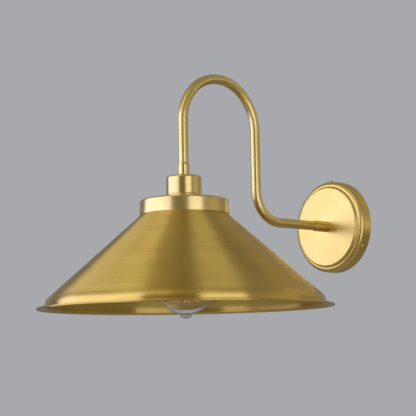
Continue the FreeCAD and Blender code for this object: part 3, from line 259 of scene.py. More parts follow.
@dataclass(frozen=True)
class Brass(Finish):
    """Brushed, lacquered brass, with its lines running round the axis of turning."""

    name: str = "satin_brass"
    turning: Turning = Turning.FREE
    deep: RGB = (0.77, 0.56, 0.16)
    pale: RGB = (0.87, 0.67, 0.25)
    roughness: float = 0.30
    spread: float = 0.05
    across_lines: float = 0.0
    lines_per_metre: float = 1500.0
    line_depth: float = 3e-6
    lacquer: float = 1.0
    polished_below: float = -1.0
    polish: float = 0.0
    # How far under and over its height the polish fades
    polish_edge: tuple[float, float] = (0.003, 0.005)
    round_scale: float = 1.6
    least_radius: float = 1e-4
    patches_per_metre: float = 26.0
    free_bands: float = 30.0
    turned_bands: float = 0.12
    # Shares of the streaks, the patches and the bands in the tone
    shares: tuple[float, float, float] = (0.35, 0.40, 0.25)
    tones: tuple[float, float] = (0.34, 0.66)

    def lines(self, shader: Shader) -> tuple[Wire, Wire]:
        """Gives the coordinates in which noise draws the brushing.

        Args:
            shader: The tree of the material.

        Returns:
            The vector for the lines, and the place for wide patches.
        """
        place = shader.place()
        if self.turning is Turning.FREE:
            return place, place
        x, y, z = shader.parts(place)
        if self.turning is Turning.ABOUT_SHADE:
            axis = LAYOUT.shade_axis
            across, deep, along = x - axis.x, y - axis.y, z * -1.0
        else:
            across, deep, along = x, z, y
        radius = (across * across + deep * deep) ** 0.5
        safe = radius.greatest(self.least_radius)
        level = (along + radius) * self.lines_per_metre
        return shader.vector(across / safe * self.round_scale, deep / safe * self.round_scale, level), place

    def surface(self, shader: Shader) -> Wire:
        """Makes metal whose colour, roughness and normal follow the brushing.

        Args:
            shader: The tree of the material.

        Returns:
            The closure.
        """
        line_place, place = self.lines(shader)
        free = self.turning is Turning.FREE
        streak = shader.noise(line_place, self.lines_per_metre if free else 1.0, detail=4.0, rough=0.62)
        patch = shader.noise(place, self.patches_per_metre, detail=3.0, rough=0.55)
        band = shader.noise(line_place, self.free_bands if free else self.turned_bands)
        tone = streak * self.shares[0] + patch * self.shares[1] + band * self.shares[2]
        colour = shader.blend(tone.rise(*self.tones), (*self.deep, 1.0), (*self.pale, 1.0))
        roughness = self.roughness + (streak - 0.5) * self.spread + (patch - 0.5) * self.spread
        if self.polish:
            _, _, height = shader.parts(place)
            low = self.polished_below - self.polish_edge[0]
            high = self.polished_below + self.polish_edge[1]
            roughness = roughness + height.rise(low, high, self.polish, 0.0)
        return self.principled(shader, {
            "Base Color": colour, "Metallic": 1.0, "Roughness": roughness,
            "Anisotropic": self.across_lines, "Anisotropic Rotation": 0.25,
            "Coat Weight": self.lacquer, "Coat Roughness": 0.30, "Coat IOR": 1.5,
            "Normal": shader.bump(streak, self.line_depth, strength=0.5),
        })


@dataclass(frozen=True)
class Metal(Finish):
    """Plain metal of a hidden or small part, with a fine grain and a few darker patches."""

    name: str = "terminal_brass"
    deep: RGB = (0.66, 0.47, 0.20)
    pale: RGB = (0.84, 0.66, 0.36)
    roughness: float = 0.30
    grain_per_metre: float = 900.0
    grain_depth: float = 8e-6
    patches_per_metre: float = 120.0
    grain_spread: float = 0.12
    patch_spread: float = 0.10

    def surface(self, shader: Shader) -> Wire:
        """Makes metal with patches and fine grain.

        Args:
            shader: The tree of the material.

        Returns:
            The closure.
        """
        place = shader.place()
        patch = shader.noise(place, self.patches_per_metre, detail=3.0, rough=0.6)
        grain = shader.noise(place, self.grain_per_metre, detail=3.0, rough=0.6)
        colour = shader.blend(patch.rise(*TONES), (*self.deep, 1.0), (*self.pale, 1.0))
        roughness = self.roughness + (grain - 0.5) * self.grain_spread + (patch - 0.5) * self.patch_spread
        return self.principled(shader, {
            "Base Color": colour, "Metallic": 1.0, "Roughness": roughness,
            "Normal": shader.bump(grain, self.grain_depth, strength=0.5),
        })


@dataclass(frozen=True)
class Moulded(Finish):
    """Moulded plastic, rubber or glazed ceramic, with a faint surface and slight shifts of tone."""

    name: str = "block_plastic"
    deep: RGB = (0.74, 0.73, 0.69)
    pale: RGB = (0.84, 0.83, 0.80)
    roughness: float = 0.45
    texture_per_metre: float = 1400.0
    texture_depth: float = 2e-5
    coat: float = 0.0
    patches_per_metre: float = 70.0
    skin_spread: float = 0.1

    def surface(self, shader: Shader) -> Wire:
        """Makes a moulded surface with tone patches and a fine skin.

        Args:
            shader: The tree of the material.

        Returns:
            The closure.
        """
        place = shader.place()
        patch = shader.noise(place, self.patches_per_metre, detail=3.0, rough=0.6)
        skin = shader.noise(place, self.texture_per_metre)
        colour = shader.blend(patch.rise(*TONES), (*self.deep, 1.0), (*self.pale, 1.0))
        return self.principled(shader, {
            "Base Color": colour, "Roughness": self.roughness + (skin - 0.5) * self.skin_spread,
            "Coat Weight": self.coat, "Coat Roughness": 0.08,
            "Normal": shader.bump(skin, self.texture_depth, strength=0.4),
        })


@dataclass(frozen=True)
class StripedInsulation(Finish):
    """Earth insulation: green with a yellow stripe along the wire."""

    name: str = "insulation_green"
    green: RGB = (0.05, 0.30, 0.05)
    yellow: RGB = (0.80, 0.62, 0.04)
    stripe_side: float = 0.0
    stripe_edge: float = 4e-5
    wander: float = 0.0008
    wanders_per_metre: float = 60.0
    roughness: float = 0.42
    texture_per_metre: float = 1500.0
    texture_depth: float = 2e-5
    skin_spread: float = 0.1

    def surface(self, shader: Shader) -> Wire:
        """Makes two colours, split by the side of the wire, with a soft skin.

        Args:
            shader: The tree of the material.

        Returns:
            The closure.
        """
        place = shader.place()
        x, _, _ = shader.parts(place)
        wander = (shader.noise(place, self.wanders_per_metre, detail=1.0) - 0.5) * self.wander
        side = (x + wander - self.stripe_side).rise(-self.stripe_edge, self.stripe_edge)
        colour = shader.blend(side, (*self.green, 1.0), (*self.yellow, 1.0))
        skin = shader.noise(place, self.texture_per_metre)
        return self.principled(shader, {
            "Base Color": colour, "Roughness": self.roughness + (skin - 0.5) * self.skin_spread,
            "Normal": shader.bump(skin, self.texture_depth, strength=0.3),
        })


@dataclass(frozen=True)
class ClearGlass(Finish):
    """Clear blown glass with faint waves in its skin."""

    name: str = "clear_glass"
    tint: RGB = (0.97, 0.985, 0.985)
    wave_per_metre: float = 45.0
    wave_depth: float = 8e-5

    def surface(self, shader: Shader) -> Wire:
        """Makes smooth glass, its normal gently waved.

        Args:
            shader: The tree of the material.

        Returns:
            The closure.
        """
        wave = shader.noise(shader.place(), self.wave_per_metre, detail=1.0)
        return self.principled(shader, {
            "Base Color": (*self.tint, 1.0), "Roughness": 0.0, "IOR": 1.5,
            "Transmission Weight": 1.0, "Normal": shader.bump(wave, self.wave_depth, strength=0.3),
        })


@dataclass(frozen=True)
class GlowingWire(Finish):
    """Filament that glows orange, brighter where it runs hotter."""

    name: str = "filament_glow"
    cool: RGB = (1.0, 0.16, 0.02)
    hot: RGB = (1.0, 0.42, 0.10)
    strength: float = 1.8
    wire: RGB = (0.12, 0.06, 0.03)
    heats_per_metre: float = 180.0

    def surface(self, shader: Shader) -> Wire:
        """Makes a dark wire with a glow that varies along it.

        Args:
            shader: The tree of the material.

        Returns:
            The closure.
        """
        heat = shader.noise(shader.place(), self.heats_per_metre, detail=1.0)
        glow = shader.blend(heat.rise(*TONES), (*self.cool, 1.0), (*self.hot, 1.0))
        return self.principled(shader, {
            "Base Color": (*self.wire, 1.0), "Metallic": 1.0, "Roughness": 0.6,
            "Emission Color": glow, "Emission Strength": self.strength,
        })


SHADE_TURNED = Brass(turning=Turning.ABOUT_SHADE, spread=0.03, across_lines=0.55)
ROSE_TURNED = Brass("rose_brass", Turning.ABOUT_ROSE, (0.78, 0.56, 0.135), (0.85, 0.63, 0.19),
                    roughness=0.33, spread=0.02, line_depth=6e-7, lacquer=0.4)
FINISHES: dict[str, Finish] = {
    "wall_rose": ROSE_TURNED,
    "wall_ferrule": Brass(turning=Turning.ABOUT_ROSE, roughness=0.34, spread=0.03),
    "arm_tube": Brass(roughness=0.33, spread=0.02, lines_per_metre=26.0, line_depth=0.0),
    "shade_ferrule": SHADE_TURNED,
    "holder_cap": SHADE_TURNED,
    "holder_skirt": SHADE_TURNED,
    "shade_ring": SHADE_TURNED,
    "shade_collar": SHADE_TURNED,
    "shade": Brass("brushed_brass", Turning.ABOUT_SHADE, (0.70, 0.47, 0.08), (0.82, 0.585, 0.125),
                   roughness=0.5, spread=0.05, across_lines=1.0, lines_per_metre=900.0, line_depth=3e-6,
                   lacquer=0.7, polished_below=-0.098, polish=-0.195),
    "screw_brass": Metal("screw_brass", (0.62, 0.42, 0.14), (0.80, 0.60, 0.24), 0.22),
    "terminal_brass": Metal(),
    "cap_brass": Metal("cap_brass", (0.68, 0.50, 0.24), (0.82, 0.66, 0.38), 0.26),
    "plate_steel": Metal("plate_steel", (0.50, 0.51, 0.53), (0.68, 0.69, 0.71), 0.38, 500.0),
    "screw_steel": Metal("screw_steel", (0.52, 0.52, 0.54), (0.70, 0.70, 0.71), 0.28),
    "solder": Metal("solder", (0.48, 0.48, 0.49), (0.66, 0.66, 0.66), 0.48, 600.0, 3e-5),
    "support_wire": Metal("support_wire", (0.40, 0.38, 0.35), (0.60, 0.57, 0.53), 0.35),
    "grommet_rubber": Moulded("grommet_rubber", (0.018, 0.018, 0.018), (0.035, 0.035, 0.036), 0.68),
    "block_plastic": Moulded(),
    "insulation_brown": Moulded("insulation_brown", (0.13, 0.055, 0.025), (0.19, 0.085, 0.04), 0.42),
    "insulation_blue": Moulded("insulation_blue", (0.02, 0.12, 0.40), (0.03, 0.17, 0.50), 0.42),
    "insulation_green": StripedInsulation(),
    "porcelain": Moulded("porcelain", (0.76, 0.75, 0.72), (0.85, 0.845, 0.82), 0.25, 300.0, 3e-5, 1.0),
    "clear_glass": ClearGlass(),
    "cap_glass": Moulded("cap_glass", (0.012, 0.012, 0.014), (0.022, 0.021, 0.022), 0.12, 200.0, 4e-5, 1.0),
    "filament_glow": GlowingWire(),
}


class Studio:
    """Camera, floor, lamps and surroundings."""

    def build(self) -> None:
        """Makes the whole studio."""
        PhotoCamera().build()
        Floor().build()
        Surroundings().build()
        for softbox in SOFTBOXES:
            softbox.build()
        bpy.context.scene.view_settings.view_transform = "Standard"


@dataclass(frozen=True)
class PhotoCamera:
    """Camera at the photograph's viewing angle."""

    azimuth: float = 49.535
    elevation: float = -7.438
    roll: float = -1.040
    distance: float = 1.412
    focal_pixels: float = 1200.0
    frame_pixels: float = 416.0
    rim_pixel: tuple[float, float] = (185.85, 307.95)
    rim_above_bottom: float = 0.0007
    sensor: float = 36.0

    def level_axes(self) -> tuple[Vector, Vector, Vector]:
        """Works out the camera's directions before its roll.

        Returns:
            The directions to its right, up and back.
        """
        azimuth, elevation = math.radians(self.azimuth), math.radians(self.elevation)
        back = Vector((
            math.sin(azimuth) * math.cos(elevation),
            -math.cos(azimuth) * math.cos(elevation),
            math.sin(elevation),
        ))
        right = Vector((math.cos(azimuth), math.sin(azimuth), 0.0))
        return right, back.cross(right), back

    def build(self) -> None:
        """Places the camera so that the middle of the shade's rim falls on its pixel."""
        level_right, level_up, back = self.level_axes()
        roll = math.radians(self.roll)
        right = level_right * math.cos(roll) + level_up * math.sin(roll)
        up = level_up * math.cos(roll) - level_right * math.sin(roll)
        across = (self.rim_pixel[0] - self.frame_pixels / 2.0) / self.focal_pixels
        down = (self.rim_pixel[1] - self.frame_pixels / 2.0) / self.focal_pixels
        ray = right * across - up * down - back
        rim = LAYOUT.shade_axis + Vector((0.0, 0.0, LAYOUT.shade_low.z + self.rim_above_bottom))
        data = bpy.data.cameras.new("photo_camera")
        data.sensor_width = self.sensor
        data.lens = self.sensor * self.focal_pixels / self.frame_pixels
        camera = bpy.data.objects.new("photo_camera", data)
        turn = Matrix((right, up, back)).transposed().to_4x4()
        camera.matrix_world = Matrix.Translation(rim - ray * self.distance) @ turn
        bpy.context.scene.collection.objects.link(camera)
        bpy.context.scene.camera = camera


@dataclass(frozen=True)
class Softbox:
    """Large soft lamp, placed by angles round the lampholder from the camera's direction."""

    name: str
    right_of_camera: float
    above_level: float
    radiance: float
    width: float
    height: float
    distance: float = 1.5
    colour: RGB = (0.96, 1.0, 1.28)

    def build(self) -> None:
        """Makes the lamp and turns it to the sconce."""
        right, _, back = PhotoCamera(elevation=0.0).level_axes()
        turn, rise = math.radians(self.right_of_camera), math.radians(self.above_level)
        level = back * math.cos(turn) + right * math.sin(turn)
        way = level * math.cos(rise) + Vector((0.0, 0.0, math.sin(rise)))
        data = bpy.data.lights.new(self.name, "AREA")
        data.shape = "RECTANGLE"
        data.size, data.size_y = self.width, self.height
        data.energy = self.radiance * math.pi * self.width * self.height
        data.color = self.colour
        lamp = bpy.data.objects.new(self.name, data)
        lamp.matrix_world = (Matrix.Translation(LAYOUT.shade_axis + way * self.distance)
                             @ way.to_track_quat("Z", "Y").to_matrix().to_4x4())
        lamp.visible_camera = False
        bpy.context.scene.collection.objects.link(lamp)


SOFTBOXES = (
    Softbox("key_softbox", -88.0, 9.0, 1.45, 1.7, 1.2, colour=(0.96, 1.0, 1.6)),
    Softbox("inner_softbox", -46.0, 3.0, 1.2, 0.7, 1.8, colour=(0.96, 1.0, 1.5)),
    Softbox("side_softbox", 30.0, -4.0, 1.3, 0.98, 1.5),
)


@dataclass(frozen=True)
class Glow:
    """Soft-edged light area of the studio, by degrees right of the camera and above level."""

    left: float
    right: float
    bottom: float
    top: float
    soft: float
    colour: RGB


GLOWS = (
    Glow(-104.0, -33.0, 30.0, 60.0, 12.0, (0.50, 0.46, 0.36)),
    Glow(-64.0, -12.0, 34.0, 66.0, 8.0, (0.95, 0.90, 0.72)),
    Glow(-66.0, -32.0, 33.0, 52.0, 4.0, (0.90, 0.88, 0.80)),
    Glow(50.0, 94.0, -25.0, 26.0, 9.0, (0.38, 0.35, 0.28)),
    Glow(70.0, 102.0, -32.0, 8.0, 8.0, (0.80, 0.72, 0.50)),
    Glow(100.0, 145.0, 18.0, 42.0, 8.0, (0.50, 0.43, 0.24)),
    Glow(-12.0, 40.0, 38.0, 62.0, 8.0, (0.46, 0.42, 0.29)),
)


@dataclass(frozen=True)
class Surroundings:
    """Plain grey backdrop that the camera sees, and the studio that the metal mirrors."""

    backdrop: RGB = (0.392, 0.397, 0.418)
    rear: RGB = (0.27, 0.26, 0.24)
    front: RGB = (0.155, 0.138, 0.085)
    ceiling: RGB = (0.29, 0.26, 0.16)
    ceiling_edge: tuple[float, float] = (0.3, 0.9)
    rear_edge: tuple[float, float] = (-0.15, 0.25)

    def build(self) -> None:
        """Makes the world."""
        world = bpy.data.worlds.new("surroundings")
        bpy.context.scene.world = world
        world.use_nodes = True
        shader = Shader(world.node_tree)
        x, y, z = shader.parts(shader.node("ShaderNodeTexCoord", output="Generated"))
        right, _, back = PhotoCamera(elevation=0.0).level_axes()
        turn = (x * right.x + y * right.y).angle(x * back.x + y * back.y) * DEGREES
        height = z.angle((x * x + y * y) ** 0.5) * DEGREES
        studio = shader.blend(z.rise(*self.ceiling_edge), (*self.front, 1.0), (*self.ceiling, 1.0))
        studio = shader.blend(y.rise(*self.rear_edge), studio, (*self.rear, 1.0))
        for glow in GLOWS:
            wide = turn.between(glow.left, glow.right, glow.soft)
            high = height.between(glow.bottom, glow.top, glow.soft)
            studio = shader.blend(wide * high, studio, (*glow.colour, 1.0))
        rays = shader.node("ShaderNodeLightPath", output="Is Camera Ray")
        seen = rays.greatest(rays.out("Is Transmission Ray"))
        colour = shader.blend(seen, studio, (*self.backdrop, 1.0))
        background = shader.node("ShaderNodeBackground", inputs={"Color": colour, "Strength": 1.0})
        shader.node("ShaderNodeOutputWorld", inputs={"Surface": background})


@dataclass(frozen=True)
class Floor:
    """Plain pale floor far below the sconce."""

    height: float = -1.2
    radius: float = 18.0
    corners: int = 96
    pale: RGB = (0.50, 0.495, 0.485)
    grey: RGB = (0.46, 0.455, 0.445)
    patches_per_metre: float = 1.5
    roughness: float = 0.8

    def build(self) -> None:
        """Makes the floor and gives it its paint."""
        bpy.ops.object.select_all(action="DESELECT")
        bpy.ops.mesh.primitive_circle_add(vertices=self.corners, radius=self.radius, fill_type="NGON",
                                          location=(0.0, 0.0, self.height))
        floor = bpy.context.active_object
        floor.name = "floor"
        made = bpy.data.materials.new("floor_paint")
        made.use_nodes = True
        shader = Shader(made.node_tree)
        patch = shader.noise(shader.place(), self.patches_per_metre, detail=3.0)
        colour = shader.blend(patch, (*self.grey, 1.0), (*self.pale, 1.0))
        paint = Finish.principled(shader, {"Base Color": colour, "Roughness": self.roughness})
        shader.node("ShaderNodeOutputMaterial", inputs={"Surface": paint})
        floor.data.materials.append(made)


MM = 0.001
FULL_TURN = 2.0 * math.pi

# Points this near are one, points this near a height lie on it, and a cut takes up points this near
MERGE_GAP = 0.002 * MM
LEVEL_GAP = 0.02 * MM
CUT_GAP = 1e-7

# How far above its upper cut a thread's sweep starts, in millimetres
THREAD_OVERRUN = 1.0

Profile = Sequence[tuple[float, float]]
Outline = list[tuple[float, float]]


class Workpiece:
    """A new mesh, shaped in edit mode; sizes are in millimetres from the shade's axis."""

    def __init__(self, name: str) -> None:
        """Starts an empty mesh in edit mode.

        Args:
            name: The name of the piece.
        """
        bpy.ops.object.select_all(action="DESELECT")
        bpy.ops.mesh.primitive_plane_add(size=MM, calc_uvs=False, location=(0.0, 0.0, 0.0))
        self.piece = bpy.context.active_object
        self.piece.name = self.piece.data.name = name
        bpy.ops.object.mode_set(mode="EDIT")
        bpy.context.tool_settings.mesh_select_mode = (True, False, False)
        bpy.ops.mesh.select_all(action="SELECT")
        bpy.ops.mesh.delete(type="VERT")

    @staticmethod
    def point(radius: float, height: float, angle: float = 0.0) -> Vector:
        """A point by its radius, height and angle round the shade's axis."""
        axis = LAYOUT.shade_axis
        across, deep = radius * MM * math.cos(angle), radius * MM * math.sin(angle)
        return Vector((axis.x + across, axis.y + deep, height * MM))

    def line(self, points: Sequence[Vector]) -> None:
        """Draws a line through points, and leaves its last point selected.

        Args:
            points: The points, in metres.
        """
        bpy.ops.mesh.select_all(action="DESELECT")
        bpy.ops.mesh.primitive_plane_add(size=MM, calc_uvs=False, location=points[0])
        bpy.ops.mesh.merge(type="CENTER")
        for start, end in zip(points, points[1:]):
            bpy.ops.mesh.extrude_vertices_move(TRANSFORM_OT_translate={"value": tuple(end - start)})

    def spin(self, profile: Profile, steps: int = 72) -> None:
        """Spins a profile round the shade's axis into one clean surface.

        Args:
            profile: The radius and height of each of its points.
            steps: Segments in the turn.
        """
        self.line([self.point(radius, height) for radius, height in profile])
        bpy.ops.mesh.select_all(action="SELECT")
        bpy.ops.mesh.spin(steps=steps, angle=FULL_TURN, center=LAYOUT.shade_axis, axis=(0.0, 0.0, 1.0))
        self.clean()

    def screw(self, profile: Profile, turns: int, bottom: float, top: float, steps: int = 48) -> None:
        """Screws one pitch of a thread's outline down the axis, and trims it between two heights.

        Args:
            profile: One pitch of the outline, from its lower end up.
            turns: How many turns the outline is swept down.
            bottom: Height of the lower cut.
            top: Height of the upper cut.
            steps: Segments in one turn.
        """
        self.line([self.point(radius, height) for radius, height in profile])
        bpy.ops.mesh.select_all(action="SELECT")
        bpy.ops.mesh.screw(steps=steps, turns=turns, center=LAYOUT.shade_axis, axis=(0.0, 0.0, -1.0))
        self.clean()
        for height, below in ((bottom, True), (top, False)):
            bpy.ops.mesh.select_all(action="SELECT")
            bpy.ops.mesh.bisect(plane_co=(0.0, 0.0, height * MM), plane_no=(0.0, 0.0, 1.0),
                                clear_inner=below, clear_outer=not below, threshold=CUT_GAP)
        self.clean()

    def clean(self) -> None:
        """Merges doubles and points the faces outwards."""
        bpy.ops.mesh.select_all(action="SELECT")
        bpy.ops.mesh.remove_doubles(threshold=MERGE_GAP)
        bpy.ops.mesh.normals_make_consistent(inside=False)

    def rim(self, height: float) -> None:
        """Selects the open edge at a height.

        Args:
            height: The height.
        """
        bpy.ops.object.mode_set(mode="OBJECT")
        mesh = self.piece.data
        uses: dict[tuple[int, int], int] = {}
        for face in mesh.polygons:
            face.select = False
            for key in face.edge_keys:
                uses[key] = uses.get(key, 0) + 1
        for vertex in mesh.vertices:
            vertex.select = False
        for edge in mesh.edges:
            ends = [mesh.vertices[index].co.z for index in edge.vertices]
            level = all(abs(end - height * MM) < LEVEL_GAP for end in ends)
            edge.select = level and uses.get(edge.key, 0) == 1
        bpy.ops.object.mode_set(mode="EDIT")
        bpy.context.tool_settings.mesh_select_mode = (False, True, False)

    def draw_out(self, height: float, outline: Profile) -> None:
        """Extrudes the open edge at a height through rings of radius and height.

        Args:
            height: Height of the open edge.
            outline: The radius and height of each new ring.
        """
        self.rim(height)
        level, radius = height, None
        for new_radius, new_level in outline:
            rise = (0.0, 0.0, (new_level - level) * MM)
            bpy.ops.mesh.extrude_edges_move(TRANSFORM_OT_translate={"value": rise})
            centre = self.point(0.0, new_level)
            if radius is None:
                bpy.ops.transform.tosphere(value=1.0, center_override=centre)
                radius = self.selected_radius()
            factor = new_radius / radius
            bpy.ops.transform.resize(value=(factor, factor, 1.0), center_override=centre)
            level, radius = new_level, new_radius

    def selected_radius(self) -> float:
        """Measures the selected points.

        Returns:
            Their mean radius, in millimetres.
        """
        bpy.ops.object.mode_set(mode="OBJECT")
        axis = LAYOUT.shade_axis
        selected = [vertex.co for vertex in self.piece.data.vertices if vertex.select]
        found = [math.hypot(place.x - axis.x, place.y - axis.y) / MM for place in selected]
        bpy.ops.object.mode_set(mode="EDIT")
        return sum(found) / len(found)

    def join_rims(self, heights: Sequence[float]) -> None:
        """Bridges two open edges.

        Args:
            heights: Their heights.
        """
        keep = set()
        for height in heights:
            self.rim(height)
            bpy.ops.object.mode_set(mode="OBJECT")
            keep |= {edge.index for edge in self.piece.data.edges if edge.select}
            bpy.ops.object.mode_set(mode="EDIT")
        bpy.ops.mesh.select_all(action="DESELECT")
        bpy.ops.object.mode_set(mode="OBJECT")
        for index in keep:
            self.piece.data.edges[index].select = True
        bpy.ops.object.mode_set(mode="EDIT")
        bpy.ops.mesh.bridge_edge_loops()

    def done(self, body: str, slot: str, stands_for: str, wall: float = 0.0, angle: float = 35.0) -> None:
        """Ends the shaping, gives a wall its thickness, smooths and dresses the piece, hangs it on its body
        and hides the node it stands for.

        Args:
            body: The moving body that the piece rides on.
            slot: The record's material slot.
            stands_for: The node that the piece replaces.
            wall: Thickness laid on the inside of the surface, or on the outside if negative.
            angle: Edges sharper than this many degrees stay sharp.
        """
        bpy.ops.object.mode_set(mode="OBJECT")
        if wall:
            sheet = self.piece.modifiers.new("wall", "SOLIDIFY")
            sheet.thickness, sheet.offset = abs(wall) * MM, -1.0 if wall > 0.0 else 1.0
            sheet.use_even_offset = True
            bpy.ops.object.modifier_apply(modifier=sheet.name)
        bpy.ops.object.shade_smooth_by_angle(angle=math.radians(angle))
        self.piece.data.materials.clear()
        finish = FINISHES[stands_for if stands_for in FINISHES else slot]
        self.piece.data.materials.append(finish.material(self.piece.name))
        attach(self.piece, body)
        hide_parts(stands_for)
        LOG.info("%s: %d faces", self.piece.name, len(self.piece.data.polygons))

    def wire(self, radius: float, sides: int = 3, closed: bool = True) -> None:
        """Turns the drawn lines into round wire.

        Args:
            radius: Radius of the wire.
            sides: Blender's bevel resolution; the wire gets twice this plus four sides.
            closed: Whether its ends are closed.
        """
        bpy.ops.object.mode_set(mode="OBJECT")
        bpy.ops.object.convert(target="CURVE")
        self.piece.data.bevel_depth = radius * MM
        self.piece.data.bevel_resolution = sides
        self.piece.data.use_fill_caps = closed
        bpy.ops.object.convert(target="MESH")
        bpy.ops.object.mode_set(mode="EDIT")
        self.clean()


def arc(centre: tuple[float, float], radius: float, start: float, end: float, steps: int) -> Outline:
    """Works out the points of an arc in the plane of radius and height.

    Args:
        centre: Its centre.
        radius: Its radius.
        start: Its first angle in degrees, from straight outwards.
        end: Its last angle.
        steps: Number of chords.

    Returns:
        The points, both ends included.
    """
    angles = (math.radians(start + (end - start) * step / steps) for step in range(steps + 1))
    return [(centre[0] + radius * math.cos(angle), centre[1] + radius * math.sin(angle)) for angle in angles]


Corner = tuple[float, float, float]


def rounded(corners: Sequence[Corner], steps: int = 8) -> Outline:
    """Works out the points of a line through corners, each with its rounding.

    Args:
        corners: Two coordinates and the rounding of each corner.
        steps: Chords in each rounding.

    Returns:
        The points in order.
    """
    points = [corners[0][:2]]
    for before, corner, after in zip(corners, corners[1:], corners[2:]):
        here = Vector(corner[:2])
        back, on = (Vector(before[:2]) - here).normalized(), (Vector(after[:2]) - here).normalized()
        if not corner[2]:
            points.append(tuple(here))
            continue
        half = back.angle(on) / 2.0
        centre = here + (back + on).normalized() * (corner[2] / math.sin(half))
        start = here + back * (corner[2] / math.tan(half)) - centre
        end = here + on * (corner[2] / math.tan(half)) - centre
        first, turn = math.atan2(start.y, start.x), -start.angle_signed(end)
        for step in range(steps + 1):
            way = first + turn * step / steps
            points.append(tuple(centre + corner[2] * Vector((math.cos(way), math.sin(way)))))
    points.append(corners[-1][:2])
    return points


def inner_side(corners: Sequence[Corner], sheet: float) -> list[Corner]:
    """Moves a line's corners to its right by a sheet's thickness.

    Args:
        corners: The outer line.
        sheet: The thickness.

    Returns:
        The inner line's corners, their roundings wider or tighter by the sheet.
    """
    places = [Vector(corner[:2]) for corner in corners]
    ways = [(after - place).normalized() for place, after in zip(places, places[1:])]
    moved = []
    for index, corner in enumerate(corners):
        into, out = ways[max(index - 1, 0)], ways[min(index, len(ways) - 1)]
        sides = [Vector((way.y, -way.x)) for way in (into, out)]
        shift = (sides[0] + sides[1]) / (1.0 + sides[0].dot(sides[1])) * sheet
        left_turn = into.x * out.y - into.y * out.x > 0.0
        rounding = corner[2] + (sheet if left_turn else -sheet) if corner[2] else 0.0
        moved.append((corner[0] + shift.x, corner[1] + shift.y, max(rounding, 0.0)))
    return moved


def thread(root: float, crest: float, pitch: float, start: float, steps: int = 12) -> Outline:
    """Works out one pitch of a rolled thread's outline, from a root up to the next root.

    Args:
        root: Its smallest radius.
        crest: Its largest radius.
        pitch: Its height.
        start: The height of the first root.
        steps: Number of chords.

    Returns:
        The points, both roots included.
    """
    middle, half = (root + crest) / 2.0, (crest - root) / 2.0
    return [(middle - half * math.cos(FULL_TURN * step / steps), start + pitch * step / steps)
            for step in range(steps + 1)]


